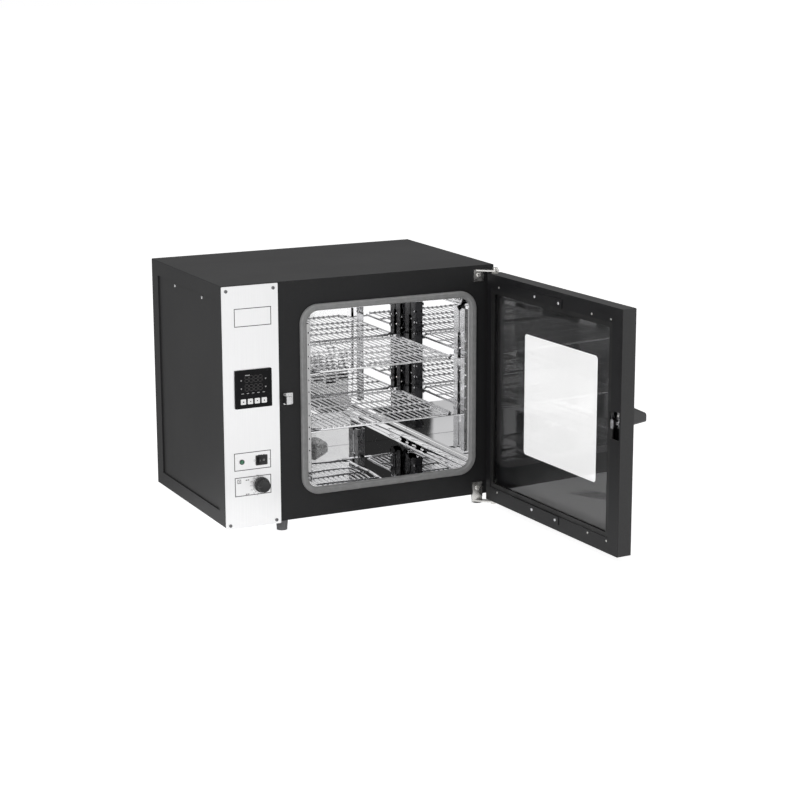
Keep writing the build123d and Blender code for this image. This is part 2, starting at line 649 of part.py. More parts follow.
def fuse_holder():
    """Round screw-cap fuse holder beside the inlet."""
    y = CAB_D
    body = rod_y(FUSE_X, INLET_Z, y - 24, y, 6) + rod_y(FUSE_X, INLET_Z, y, y + 2, 9)
    cap = rod_y(FUSE_X, INLET_Z, y + 2, y + 9, 6.5)
    return body + cap - block(FUSE_X - 5, FUSE_X + 5, y + 8, y + 10, INLET_Z - 0.7, INLET_Z + 0.7)


PLATE_X = CH_X - CH_W / 2 - INSUL - 2.5


def electrics_plate():
    """Sheet wall between the insulation and the control space, folded at the bottom."""
    wall = block(PLATE_X, PLATE_X + 1.5, 20, 380, Z_BASE + 16, 505)
    foot = block(PLATE_X - 14, PLATE_X, 20, 380, Z_BASE + 16, Z_BASE + 17.5)
    return wall + foot


def power_relay():
    """Solid-state relay on a finned heat sink."""
    sink = block(PLATE_X - 8, PLATE_X, 190, 260, 200, 290)
    for i in range(7):
        y = 193 + i * 10.2
        sink = sink + block(PLATE_X - 30, PLATE_X - 8, y, y + 2, 200, 290)
    case = block(PLATE_X - 50, PLATE_X - 30, 203, 247, 216, 274)
    return sink + case


def terminal_block():
    """Twelve-way terminal block with wire pockets."""
    bar = block(PLATE_X - 20, PLATE_X, 190, 310, 110, 132)
    for i in range(12):
        y = 196 + i * 9.5
        bar = bar - block(PLATE_X - 25, PLATE_X - 12, y, y + 6, 112, 119)
        bar = bar - block(PLATE_X - 25, PLATE_X - 12, y, y + 6, 123, 130)
    return bar


# ---------------------------------------------------------------- control strip
STRIP_CX = (X_LEFT + X_STRIP) / 2
PANEL_SCREWS = tuple((STRIP_CX + dx, z) for dx in (-51.5, 51.5) for z in (26.5, 516.0))
CTRL_X = -246.8
CTRL_Z = 311.6
CTRL_W = 81.0
CTRL_CUT = 75.0
CTRL_FACE = -5.5
KEY_Z = 286.0
KEY_X = tuple(-270.0 + i * 15.3 for i in range(4))
KEY_SIZE = 11.0
KEY_TRAVEL = 0.8
LAMP_X = -274.5
SWITCH_Z = 159.2
LAMP_R = 5.3
SWITCH_X = -231.2
SWITCH_W = 26.0
SWITCH_H = 21.0
ROCKER_W = 18.0
ROCKER_TILT = 8.0
ROCKER_H = 13.0
KNOB_X = -231.8
KNOB_Z = 106.4
KNOB_R = 16.2


def control_panel():
    """Stainless front strip with its cut-outs and folded lower edge."""
    z0, z1 = Z_BASE - STRIP_DROP, Z_TOP - 1.5
    plate = slab(STRIP_CX + 0.1, (z0 + z1) / 2, STRIP_W - 0.4, z1 - z0, -STRIP_T, 0, 1.8)
    plate = plate - slab(CTRL_X, CTRL_Z, CTRL_CUT + 0.6, CTRL_CUT + 0.6, -5, 1)
    plate = plate - rod_y(LAMP_X, SWITCH_Z, -5, 1, LAMP_R - 0.8)
    plate = plate - slab(SWITCH_X, SWITCH_Z, SWITCH_W - 3.6, SWITCH_H - 3.6, -5, 1)
    plate = plate - rod_y(KNOB_X, KNOB_Z, -5, 1, 5.1)
    for x, z in PANEL_SCREWS:
        plate = plate - rod_y(x, z, -5, 1, 2.0)
    return plate


def panel_screws():
    """Pan-head screws: four at the corners of the strip and two in the left service panel."""
    strip = [pan_screw(x, z, -STRIP_T, 3.6, 2.0, 1.75, 8) for x, z in PANEL_SCREWS]
    side = [side_screw(y, z, X_LEFT + RECESS_D) for y, z in SERVICE_SCREWS]
    return group(strip + side)


def controller_housing():
    """Digital controller: square bezel with a display recess and key pockets, box behind the panel."""
    bezel = slab(CTRL_X, CTRL_Z, CTRL_W, CTRL_W - 1, CTRL_FACE, -STRIP_T, 2.0)
    rim = bezel.faces().sort_by(Axis.Y)[0].edges()
    bezel = chamfer(rim, 0.8)
    box = slab(CTRL_X, CTRL_Z, CTRL_CUT, CTRL_CUT, -STRIP_T, 68)
    body = bezel + box
    body = body - slab(CTRL_X, CTRL_Z + 12, 70, 47, CTRL_FACE - 1, CTRL_FACE + 1.2, 1.5)
    for x in KEY_X:
        body = body - slab(x, KEY_Z, KEY_SIZE + 0.6, KEY_SIZE + 0.6, CTRL_FACE - 1, CTRL_FACE + 3.4, 1.3)
    return body


def display_lens():
    """Smoked window over the two rows of digits."""
    return slab(CTRL_X, CTRL_Z + 12, 69.8, 46.8, CTRL_FACE + 0.3, CTRL_FACE + 1.2, 1.4)


def key(index):
    """One soft key of the controller, with a crowned top."""
    front = CTRL_FACE - 1.1
    cap = slab(KEY_X[index], KEY_Z, KEY_SIZE, KEY_SIZE, front, CTRL_FACE + 2.3, 1.0)
    rim = cap.faces().sort_by(Axis.Y)[0].edges()
    return fillet(rim, 0.5)


def indicator_lamp():
    """Domed green lens in the holder's collar."""
    ball_r = 8.0
    lens_r = LAMP_R - 1.0
    base = -STRIP_T - 0.9
    dome = Pos(LAMP_X, base + sqrt(ball_r ** 2 - lens_r ** 2), SWITCH_Z) * Sphere(ball_r)
    return dome & rod_y(LAMP_X, SWITCH_Z, base - 4, -STRIP_T, lens_r)


def lamp_holder():
    """Lamp body behind the panel, with its thin front collar."""
    collar = rod_y(LAMP_X, SWITCH_Z, -STRIP_T - 1.2, -STRIP_T, LAMP_R)
    collar = collar - rod_y(LAMP_X, SWITCH_Z, -STRIP_T - 3, 0, LAMP_R - 0.95)
    barrel = rod_y(LAMP_X, SWITCH_Z, -STRIP_T, 22, LAMP_R - 0.85)
    return collar + barrel


def switch_housing():
    """Rocker switch case: bezel, rocker well and body behind the panel."""
    bezel = slab(SWITCH_X, SWITCH_Z, SWITCH_W, SWITCH_H, -STRIP_T - 2, -STRIP_T, 1.5)
    rim = bezel.faces().sort_by(Axis.Y)[0].edges()
    bezel = chamfer(rim, 0.7)
    box = slab(SWITCH_X, SWITCH_Z, SWITCH_W - 4, SWITCH_H - 4, -STRIP_T, 24)
    well = slab(SWITCH_X, SWITCH_Z, ROCKER_W + 2.2, ROCKER_H + 0.8, -STRIP_T - 4, 8)
    return bezel + box - well


def rocker():
    """Two-way rocker with a shallow V face, pressed on its right side."""
    half = ROCKER_W / 2
    face, middle, cheek, belly = -STRIP_T - 4.2, -STRIP_T - 2.2, -STRIP_T - 1.7, 4.5
    profile = Polyline((-half, face), (0, middle), (half, face), (half, cheek), (5, belly), (-5, belly),
                       (-half, cheek), (-half, face))
    plane = Plane(origin=(SWITCH_X, 0, SWITCH_Z - ROCKER_H / 2), x_dir=(1, 0, 0), z_dir=(0, 0, 1))
    body = extrude(plane * make_face(profile), ROCKER_H)
    return body.rotate(Axis((SWITCH_X, 0, 0), (0, 0, 1)), ROCKER_TILT)


def limit_thermostat():
    """Over-temperature thermostat behind the strip: case, threaded bush and nut."""
    case = slab(KNOB_X, KNOB_Z, 36, 44, 3, 34, 3)
    bush = rod_y(KNOB_X, KNOB_Z, -STRIP_T - 3, 3, 5.0)
    nut_plane = Plane(origin=(KNOB_X, -STRIP_T, KNOB_Z), x_dir=(1, 0, 0), z_dir=(0, -1, 0))
    nut = extrude(nut_plane * RegularPolygon(7, 6), 2.2)
    body = case + bush + nut
    return body - rod_y(KNOB_X, KNOB_Z, -STRIP_T - 6, 18, 3.0 + PIN_GAP)


def knob_shaft():
    """Thermostat shaft that the knob is pressed on."""
    return rod_y(KNOB_X, KNOB_Z, -16, 17, 3.0)


def temperature_knob():
    """Skirted knob with grip flutes, hollow behind to clear the nut."""
    y_front, y_skirt = -20.0, -8.0
    back = -STRIP_T - 0.8
    skirt = rod_y(KNOB_X, KNOB_Z, y_skirt, back, KNOB_R)
    grip = rod_y(KNOB_X, KNOB_Z, y_front, y_skirt, KNOB_R - 2.5)
    crown = grip.edges().filter_by(GeomType.CIRCLE).sort_by(Axis.Y)[0]
    grip = fillet(crown, 1.5)
    knob = skirt + grip
    flutes = 18
    for i in range(flutes):
        a = 2 * pi * i / flutes
        r = KNOB_R - 1.6
        knob = knob - rod_y(KNOB_X + r * cos(a), KNOB_Z + r * sin(a), y_front - 1, y_skirt, 1.5)
    knob = knob - rod_y(KNOB_X, KNOB_Z, -8.6, back + 1, 9.5)
    return knob - rod_y(KNOB_X, KNOB_Z, -16.0, 0, 3.0)


# ---------------------------------------------------------------- hinges and striker
ARM_T = 3.0
COLLAR_H = 3.5           # bush collar between door and arm
TOP_ARM_Z = DOOR_Z1 + COLLAR_H + SLIDE_GAP
LOW_ARM_Z = DOOR_Z0 - COLLAR_H - SLIDE_GAP
BRACKET_X = (263.5, 287.0)
HINGE_SCREW_X = sum(BRACKET_X) / 2 - 1
HINGE_SCREWS = ((HINGE_SCREW_X, 507.0), (HINGE_SCREW_X, 37.5))
FLANGE_ENDS = (493.0, 50.0)          # far ends of the flanges on the front face


def hinge_bracket(arm_z, flange_z, screw_z):
    """Bent bracket: flange on the front face and an arm that carries the pin."""
    x0, x1 = BRACKET_X
    flange = block(x0, x1, -ARM_T, 0, min(flange_z, arm_z), max(flange_z, arm_z + ARM_T))
    outline = make_hull([
        *(Pos(PIN_X, PIN_Y) * Circle(8.5)).edges(),
        Line((x0 + 2, -0.01), (x1, -0.01)),
    ])
    arm = extrude(Plane(origin=(0, 0, arm_z)) * outline, ARM_T)
    body = flange + arm
    body = body - rod_z(PIN_X, PIN_Y, arm_z - 1, arm_z + ARM_T + 1, PIN_R)
    return body - rod_y(HINGE_SCREW_X, screw_z, -5, 1, 3.1)


def hinge_brackets():
    """Upper bracket, and the lower one that reaches under the door."""
    arms = (TOP_ARM_Z, LOW_ARM_Z - ARM_T)
    return group([hinge_bracket(arm, end, z) for arm, end, (_, z) in zip(arms, FLANGE_ENDS, HINGE_SCREWS)])


def hinge_pin(z_arm, up):
    """Pin with a domed head outside the arm and a shank in the door bush."""
    s = 1 if up else -1
    outside = z_arm + ARM_T if up else z_arm
    head = rod_z(PIN_X, PIN_Y, outside, outside + s * 2.5, 6.0)
    dome = Pos(PIN_X, PIN_Y, outside + s * 2.5) * Sphere(6.0)
    cap = dome & rod_z(PIN_X, PIN_Y, outside + s * 2.5, outside + s * 5.0, 6.0)
    shank = rod_z(PIN_X, PIN_Y, outside, outside - s * 26, PIN_R)
    return head + cap + shank


def hinge_pins():
    """Both pins, fixed in the bracket arms."""
    return group([hinge_pin(TOP_ARM_Z, True), hinge_pin(LOW_ARM_Z - ARM_T, False)])


STRIKE_LIP = (-177.2, -168.2)        # x of the lip that the roller passes behind
STRIKE_WALL = 2.8
STRIKE_REACH = -20.0
STRIKE_BASE = 2.5
LIP_T = 3.0
STRIKE_Z = (LATCH_Z - 12.0, LATCH_Z + 4.5)
STRIKE_FOOT = (21.0, 24.0)           # width and height of the base plate
STRIKE_MIDDLE = sum(STRIKE_Z) / 2
STRIKE_SCREWS = tuple((STRIKE_LIP[1] + 2.5, STRIKE_MIDDLE + dz) for dz in (-8.0, 8.0))


def striker():
    """Hook on the front face: base plate, upright and lip, with a round screw boss."""
    width, height = STRIKE_FOOT
    x_wall = STRIKE_LIP[0] - STRIKE_WALL
    base = slab(x_wall + width / 2, STRIKE_MIDDLE, width, height, -STRIKE_BASE, 0, 2)
    upright = block(x_wall, STRIKE_LIP[0], STRIKE_REACH, -STRIKE_BASE, *STRIKE_Z)
    lip = block(x_wall, STRIKE_LIP[1], STRIKE_REACH, STRIKE_REACH + LIP_T, *STRIKE_Z)
    hook = base + upright + lip
    corner = hook.edges().filter_by(Axis.Z).sort_by(Axis.Y)[:2]
    hook = fillet(corner, 1.2)
    for x, z in STRIKE_SCREWS:
        hook = hook - rod_y(x, z, -5, 1, 1.6)
    return hook


def bracket_screws():
    """Screws of the two hinge brackets and of the striker."""
    hinge = [pan_screw(x, z, -ARM_T, 5.2, 2.6, 3.0, 4.0) for x, z in HINGE_SCREWS]
    strike = [pan_screw(x, z, -STRIKE_BASE, 2.6, 1.5, 1.5, 3.5) for x, z in STRIKE_SCREWS]
    return group(hinge + strike)


# ---------------------------------------------------------------- door, modelled shut
FLANGE_X = (-151.0, 296.0)           # opening in the inner flange
FLANGE_Z = (45.0, 480.0)
WINDOW_W = 269.0
WINDOW_H = 260.0
WINDOW_X = DOOR_XM - 6.5
WINDOW_Z = 269.0
WINDOW_R = 8.0
SKIN_WINDOW = 60.0                   # how much larger the outer skin's opening is
PANE_OVER = 88.0                     # and the outer pane
SEAL_OVER = (70.0, 44.0)             # and the rubber spacer, outside and inside
GLASS_Y = (-17.0, -13.0)
BACKING_Y = -29.0
LATCH_NOTCH_Z = (250.0, 306.0)
LATCH_ROOM = 16.0                    # space for the crank and its roller round the spindle


def door_shell():
    """Folded steel pan: outer skin, four edges and the inner flange with the latch notch."""
    zm = (DOOR_Z0 + DOOR_Z1) / 2
    pan = slab(DOOR_XM, zm, DOOR_W, DOOR_H, DOOR_OUT, DOOR_IN, 2.0)
    t = DOOR_SHEET
    pan = pan - slab(DOOR_XM, zm, DOOR_W - 2 * t, DOOR_H - 2 * t, DOOR_OUT + t, DOOR_IN - t, 1.0)
    fx, fz = sum(FLANGE_X) / 2, sum(FLANGE_Z) / 2
    pan = pan - slab(fx, fz, FLANGE_X[1] - FLANGE_X[0], FLANGE_Z[1] - FLANGE_Z[0], DOOR_IN - t - 1, DOOR_IN + 1, 2)
    pan = pan - block(DOOR_X0 + 4, FLANGE_X[0] + 1, DOOR_IN - t - 1, DOOR_IN + 1, *LATCH_NOTCH_Z)
    pan = pan - slab(WINDOW_X, WINDOW_Z, WINDOW_W + SKIN_WINDOW, WINDOW_H + SKIN_WINDOW, DOOR_OUT - 1,
                     DOOR_OUT + t + 1, WINDOW_R + 4)
    pan = pan - rod_y(LATCH_X, LATCH_Z, DOOR_OUT - 1, DOOR_OUT + t + 1, 4.5)
    for z in (DOOR_Z0, DOOR_Z1):
        pan = pan - rod_z(PIN_X, PIN_Y, z - 3, z + 3, 6.0)
    return pan


def hinge_bush(z_edge, up):
    """Nylon bush in the door's edge, turning on the fixed pin."""
    s = 1 if up else -1
    collar = rod_z(PIN_X, PIN_Y, z_edge, z_edge + s * COLLAR_H, 7.5)
    barrel = rod_z(PIN_X, PIN_Y, z_edge, z_edge - s * 24, 5.95)
    bore = rod_z(PIN_X, PIN_Y, z_edge + s * 6, z_edge - s * 30, PIN_R + PIN_GAP)
    return collar + barrel - bore


def hinge_bushes():
    """Upper and lower bush."""
    return group([hinge_bush(DOOR_Z1, True), hinge_bush(DOOR_Z0, False)])


def inner_glass():
    """Large pane behind the flange."""
    x0, x1 = FLANGE_X[0] - 6, FLANGE_X[1] + 7
    z0, z1 = FLANGE_Z[0] - 7, FLANGE_Z[1] + 7
    return slab((x0 + x1) / 2, (z0 + z1) / 2, x1 - x0, z1 - z0, *GLASS_Y)


def glass_seal():
    """Black rubber frame between the flange and the pane."""
    x0, x1 = FLANGE_X[0] - 6, FLANGE_X[1] + 7
    z0, z1 = FLANGE_Z[0] - 7, FLANGE_Z[1] + 7
    y0, y1 = GLASS_Y[1], DOOR_IN - DOOR_SHEET
    ring = slab((x0 + x1) / 2, (z0 + z1) / 2, x1 - x0, z1 - z0, y0, y1)
    ring = ring - slab((x0 + x1) / 2, (z0 + z1) / 2, x1 - x0 - 34, z1 - z0 - 34, y0 - 1, y1 + 1, 3)
    return ring - block(x0 - 1, LATCH_X + LATCH_ROOM, y0 - 1, y1 + 1, LATCH_Z - LATCH_ROOM, LATCH_Z + LATCH_ROOM)


def inner_panel():
    """Black sheet behind the pane, with the window opening and a step that clamps the pane."""
    x0, x1 = FLANGE_X[0] + 1, FLANGE_X[1] + 4
    z0, z1 = FLANGE_Z[0] - 4, FLANGE_Z[1] + 4
    xm, zm = (x0 + x1) / 2, (z0 + z1) / 2
    tray = slab(xm, zm, x1 - x0, z1 - z0, BACKING_Y - 1.0, GLASS_Y[0], 2)
    tray = tray - slab(xm, zm, x1 - x0 - 2, z1 - z0 - 2, BACKING_Y, GLASS_Y[0] + 1, 1)
    tray = tray - slab(WINDOW_X, WINDOW_Z, WINDOW_W, WINDOW_H, BACKING_Y - 5, BACKING_Y + 2, WINDOW_R)
    return tray


OUTER_PANE = 4.0


def outer_window():
    """Outer pane behind the skin."""
    y0 = DOOR_OUT + DOOR_SHEET
    return slab(WINDOW_X, WINDOW_Z, WINDOW_W + PANE_OVER, WINDOW_H + PANE_OVER, y0, y0 + OUTER_PANE, 3)


def window_seal():
    """Rubber spacer between the outer pane and the inner panel."""
    y0 = DOOR_OUT + DOOR_SHEET + OUTER_PANE
    outside, inside = SEAL_OVER
    ring = slab(WINDOW_X, WINDOW_Z, WINDOW_W + outside, WINDOW_H + outside, y0, BACKING_Y - 1, 3)
    return ring - slab(WINDOW_X, WINDOW_Z, WINDOW_W + inside, WINDOW_H + inside, y0 - 1, BACKING_Y, WINDOW_R)


RETAINER_X = (26.0, 206.0)
RETAINER_H = 18.0
RETAINER_T = 1.2
RETAINER_Z = (489.0, 35.5)
BRIGHT_SCREW_X = (38.0, 126.0)
BRIGHT_SCREWS = tuple((x, z) for x in BRIGHT_SCREW_X for z in RETAINER_Z)


def glass_retainers():
    """Two plates on the inner flange that hold the pane's top and bottom edges."""
    made = []
    for z in RETAINER_Z:
        plate = slab(sum(RETAINER_X) / 2, z, RETAINER_X[1] - RETAINER_X[0], RETAINER_H, DOOR_IN,
                     DOOR_IN + RETAINER_T, 1)
        for x in BRIGHT_SCREW_X:
            plate = plate - rod_y(x, z, DOOR_IN - 1, DOOR_IN + 3, 2.1)
        made.append(plate)
    return group(made)


def back_screw(x, z, y, head_r, head_h, shank_r, shank):
    """Pan-head screw facing the chamber, its head standing on the plane y."""
    front = pan_screw(0, 0, 0, head_r, head_h, shank_r, shank)
    return Pos(x, y, z) * Rot(0, 0, 180) * front


def door_screws():
    """Bright screws through the retainers."""
    return group([back_screw(x, z, DOOR_IN + RETAINER_T, 3.2, 1.5, 2.05, 1.2) for x, z in BRIGHT_SCREWS])


def latch_block():
    """Bearing block for the spindle, fixed to the outer skin."""
    y0 = DOOR_OUT + DOOR_SHEET
    body = slab(LATCH_X, LATCH_Z, 18, 34, y0, -24.0, 2)
    return body - rod_y(LATCH_X, LATCH_Z, y0 - 1, -20, 4.0 + PIN_GAP)


CRANK = 9.5                          # spindle to roller; straight down when the door is free
CRANK_R = 5.0
COLLAR_R = 9.0
COLLAR_Y = (-23.8, -21.0)
ROLLER_R = 4.5
CRANK_Y = (-7.6, -5.0)
ROLLER_Y = -16.4


def latch_spindle():
    """Spindle through the door with its collar, crank and roller stub, turned to free the door."""
    spindle = rod_y(LATCH_X, LATCH_Z, DOOR_OUT - 14, CRANK_Y[0], 4.0)
    collar = rod_y(LATCH_X, LATCH_Z, *COLLAR_Y, COLLAR_R)
    ends = [rod_y(LATCH_X, z, *CRANK_Y, CRANK_R) for z in (LATCH_Z, LATCH_Z - CRANK)]
    web = block(LATCH_X - CRANK_R, LATCH_X + CRANK_R, *CRANK_Y, LATCH_Z - CRANK, LATCH_Z)
    stub = rod_y(LATCH_X, LATCH_Z - CRANK, ROLLER_Y, CRANK_Y[0], 2.0)
    return spindle + collar + web + ends[0] + ends[1] + stub


def latch_roller():
    """Hardened ring on the crank's stub."""
    ring = rod_y(LATCH_X, LATCH_Z - CRANK, ROLLER_Y, CRANK_Y[0], ROLLER_R)
    return ring - rod_y(LATCH_X, LATCH_Z - CRANK, ROLLER_Y - 1, CRANK_Y[0] + 1, 2.0)


HANDLE_X = (-180.0, -78.0)
HANDLE_Z = (276.5, 314.0)
HANDLE_OUT = 40.0


def door_handle():
    """Moulded lever: wide foot at the door, narrow crest, level underside, sloping top."""
    y_foot = DOOR_OUT - 1.8
    y_crest = DOOR_OUT - HANDLE_OUT
    x0, x1 = HANDLE_X
    z0, z1 = HANDLE_Z
    foot = Plane(origin=((x0 + x1) / 2, y_foot, (z0 + z1) / 2), x_dir=(1, 0, 0), z_dir=(0, -1, 0))
    crest = Plane(origin=((x0 + x1) / 2 + 2, y_crest, z0 + 10.5), x_dir=(1, 0, 0), z_dir=(0, -1, 0))
    lever = loft([foot * RectangleRounded(x1 - x0, z1 - z0, 6), crest * RectangleRounded(x1 - x0 - 14, 19, 6)])
    hollow = slab((x0 + x1) / 2 + 16, (z0 + z1) / 2 - 2, 58, 22, y_foot - 12, y_foot + 1, 5)
    lever = lever - hollow
    return lever - rod_y(LATCH_X, LATCH_Z, DOOR_OUT - 14, DOOR_OUT + 1, 4.0)


# ---------------------------------------------------------------- assembly
def opened(shape):
    """Turn a piece of the shut door about the hinge line to where the door stands."""
    return shape.rotate(Axis((PIN_X, PIN_Y, 0), (0, 0, 1)), OPEN_ANGLE)


def placed(shape):
    """Move a piece so that the middle of the footprint is the origin."""
    return shape.moved(Location((-ORIGIN_X, -ORIGIN_Y, 0)))


CABINET = {
    "outer_casing": outer_casing, "left_service_panel": left_service_panel, "front_frame": front_frame,
    "base_pan": base_pan, "feet": feet, "rear_panel": rear_panel, "chamber_liner": chamber_liner,
    "back_baffle": back_baffle, "air_ducts": air_ducts, "insulation": insulation, "door_gasket": door_gasket,
    "support_strips": support_strips, "shelf_clips": shelf_clips, "lower_shelf": lambda: wire_shelf(0),
    "upper_shelf": lambda: wire_shelf(1), "heater_ring": heater_ring, "fan_wheel": fan_wheel,
    "fan_shaft": fan_shaft, "fan_motor": fan_motor, "motor_bracket": motor_bracket,
    "temperature_probe": temperature_probe, "exhaust_tube": exhaust_tube, "vent_shutter": vent_shutter,
    "power_inlet": power_inlet, "fuse_holder": fuse_holder, "electrics_plate": electrics_plate,
    "power_relay": power_relay, "terminal_block": terminal_block, "control_panel": control_panel,
    "panel_screws": panel_screws, "controller_housing": controller_housing, "display_lens": display_lens,
    "key_set": lambda: key(0), "key_shift": lambda: key(1), "key_down": lambda: key(2),
    "key_up": lambda: key(3), "indicator_lamp": indicator_lamp, "lamp_holder": lamp_holder,
    "switch_housing": switch_housing, "rocker": rocker, "limit_thermostat": limit_thermostat,
    "knob_shaft": knob_shaft, "temperature_knob": temperature_knob, "hinge_brackets": hinge_brackets,
    "hinge_pins": hinge_pins, "bracket_screws": bracket_screws, "striker": striker,
}
DOOR = {
    "door_shell": door_shell, "hinge_bushes": hinge_bushes, "inner_glass": inner_glass,
    "glass_seal": glass_seal, "inner_panel": inner_panel, "outer_window": outer_window,
    "window_seal": window_seal, "glass_retainers": glass_retainers, "door_screws": door_screws,
    "latch_block": latch_block, "latch_spindle": latch_spindle, "latch_roller": latch_roller,
    "door_handle": door_handle,
}

os.makedirs("parts", exist_ok=True)
for name, make in CABINET.items():
    export_step(placed(make()), f"parts/{name}.step")
for name, make in DOOR.items():
    export_step(placed(opened(make())), f"parts/{name}.step")
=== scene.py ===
"""Looks for the bench-top drying oven: finishes for the CAD nodes and the finer pieces around them.

Pieces are drawn from a point on the floor, in the plane of the front face and on the cabinet's centre
line: X across the front, Y from the front to the back, Z up. They are then moved by ORIGIN, the middle
of the whole oven's footprint, which is where the CAD frame starts. Sizes are in millimetres.
"""

import math
import random

import bpy
import bmesh
from mathutils import Matrix, Vector
from mathutils.bvhtree import BVHTree


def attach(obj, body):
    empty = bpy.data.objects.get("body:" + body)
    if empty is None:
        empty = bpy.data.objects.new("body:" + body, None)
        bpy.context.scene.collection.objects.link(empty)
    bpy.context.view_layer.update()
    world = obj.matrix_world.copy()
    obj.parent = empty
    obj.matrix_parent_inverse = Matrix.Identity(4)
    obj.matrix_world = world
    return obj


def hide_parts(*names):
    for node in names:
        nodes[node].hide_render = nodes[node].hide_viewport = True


MM = 0.001
ORIGIN = Vector((0.035905, -0.04296, 0.0))
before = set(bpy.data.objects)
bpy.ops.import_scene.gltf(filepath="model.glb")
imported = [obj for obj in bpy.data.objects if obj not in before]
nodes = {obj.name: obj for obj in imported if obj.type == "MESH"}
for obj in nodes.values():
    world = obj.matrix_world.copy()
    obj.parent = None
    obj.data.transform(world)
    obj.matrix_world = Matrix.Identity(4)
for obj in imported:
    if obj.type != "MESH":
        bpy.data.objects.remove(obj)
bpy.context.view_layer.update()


# ---------------------------------------------------------------- sizes of the oven's own parts
CHAMBER_X, CHAMBER_HALF = 64.0, 190.0
SHELF_HEIGHTS = {"lower_shelf": 202.0, "upper_shelf": 326.0}
SHELF_HALF = 165.0
SHELF_FRONT, SHELF_REAR = 20.0, 285.0
SHELF_CORNER = 17.0
RIM_R, BAR_R, WIRE_R = 2.5, 1.9, 1.4
WIRES = 24
RAIL_IN = 78.0                   # outer cross rails, in from the shelf's front and rear
WIRE_PAST = 1.5                  # wires run on past the middle of the rim

PIN = Vector((304.0, -23.0, 0.0))
OPEN_ANGLE = math.radians(92.7)
DOOR_IN = -9.0

STRIP_FACE = -2.0
STRIP_LEFT, STRIP_RIGHT = -312.5, -189.0
STRIP_MIDDLE = (STRIP_LEFT + STRIP_RIGHT) / 2
PRINT_Y = STRIP_FACE - 0.03
CONTROLLER = (-246.8, 311.6)
CONTROLLER_FACE = -5.5
KEY_Z, KEY_FIRST, KEY_STEP = 286.0, -270.0, 15.3
SWITCH = (-231.2, 159.2)
KNOB = (-231.8, 106.4)
KNOB_CORE = 11.5                 # the knob's crown inside this radius has no flutes
DIAL_FIRST, DIAL_SWEEP = 112.0, 136.0

PANEL_SCREW_PLACES = [(STRIP_MIDDLE + dx, z) for dx in (-51.5, 51.5) for z in (26.5, 516.0)]
SERVICE_SCREW_PLACES = [(113.7, 487.0), (272.4, 487.0)]
SERVICE_PANEL_FACE = -309.3
STRIKER_SCREWS = (-165.7, 282.25)

REAR_STRIP_EDGE = 242.0
REAR_STRIP_MIDDLE = 277.5
STRIP_LAND = 9.2                 # chamber wall to the strip's land
DIMPLES, DIMPLE_STEP = 12, 25.0


# ---------------------------------------------------------------- node trees
class Tree:
    """A node tree that is built one node at a time."""

    def __init__(self, tree):
        self.tree = tree

    def link(self, output, target):
        self.tree.links.new(output, target)

    def node(self, kind, feeds=None, **settings):
        """Add a node; feeds maps an input's name or number to a value or to another node's output."""
        node = self.tree.nodes.new(kind)
        for name, value in settings.items():
            setattr(node, name, value)
        for key, value in (feeds or {}).items():
            if isinstance(value, bpy.types.NodeSocket):
                self.link(value, node.inputs[key])
            else:
                node.inputs[key].default_value = value
        return node

    def out(self, kind, feeds=None, **settings):
        """First output of a new node."""
        return self.node(kind, feeds, **settings).outputs[0]

    def calc(self, operation, first, second=0.0):
        return self.out("ShaderNodeMath", {0: first, 1: second}, operation=operation)

    def times(self, first, second):
        return self.calc("MULTIPLY", first, second)

    def ramp(self, factor, low, high, start=0.0, end=1.0):
        """Factor remapped from low..high to start..end."""
        return self.out("ShaderNodeMapRange", {0: factor, 1: low, 2: high, 3: start, 4: end})


class Finish(Tree):
    """A procedural material built around one Principled shader."""

    def __init__(self, name, color, roughness, metallic=0.0, **sockets):
        self.material = bpy.data.materials.new(name)
        self.material.use_nodes = True
        super().__init__(self.material.node_tree)
        self.shader = self.tree.nodes["Principled BSDF"]
        self.shader.inputs["Base Color"].default_value = (*color, 1.0)
        self.shader.inputs["Roughness"].default_value = roughness
        self.shader.inputs["Metallic"].default_value = metallic
        for socket, value in sockets.items():
            self.shader.inputs[socket.replace("_", " ")].default_value = value
        self.place = self.node("ShaderNodeTexCoord").outputs["Object"]
        self.relief = None

    def noise(self, scale, detail=3.0, stretch=(1.0, 1.0, 1.0), roughness=0.55):
        """Noise with a scale for each axis."""
        place = self.out("ShaderNodeMapping", {"Vector": self.place, "Scale": stretch})
        return self.node("ShaderNodeTexNoise", {
            "Vector": place, "Scale": scale, "Detail": detail, "Roughness": roughness}).outputs["Fac"]

    def cells(self, scale):
        return self.node("ShaderNodeTexVoronoi", {"Vector": self.place, "Scale": scale}).outputs["Distance"]

    def tint(self, factor, dark, light):
        """Base colour that runs from dark to light along the factor."""
        node = self.node("ShaderNodeValToRGB", {"Fac": factor})
        for stop, place, color in zip(node.color_ramp.elements, (0.3, 0.7), (dark, light)):
            stop.position = place
            stop.color = (*color, 1.0)
        self.link(node.outputs["Color"], self.shader.inputs["Base Color"])

    def worn(self, factor, low, high):
        """Roughness that follows the factor."""
        self.link(self.ramp(factor, 0.3, 0.7, low, high), self.shader.inputs["Roughness"])

    def bump(self, height, strength, distance):
        """One more layer of relief, in metres."""
        feeds = {"Height": height, "Strength": strength, "Distance": distance}
        if self.relief:
            feeds["Normal"] = self.relief
        self.relief = self.node("ShaderNodeBump", feeds).outputs["Normal"]
        self.link(self.relief, self.shader.inputs["Normal"])
        return self


# ---------------------------------------------------------------- materials
def shade(color, factor):
    """A colour made darker or lighter."""
    return tuple(min(1.0, c * factor) for c in color)


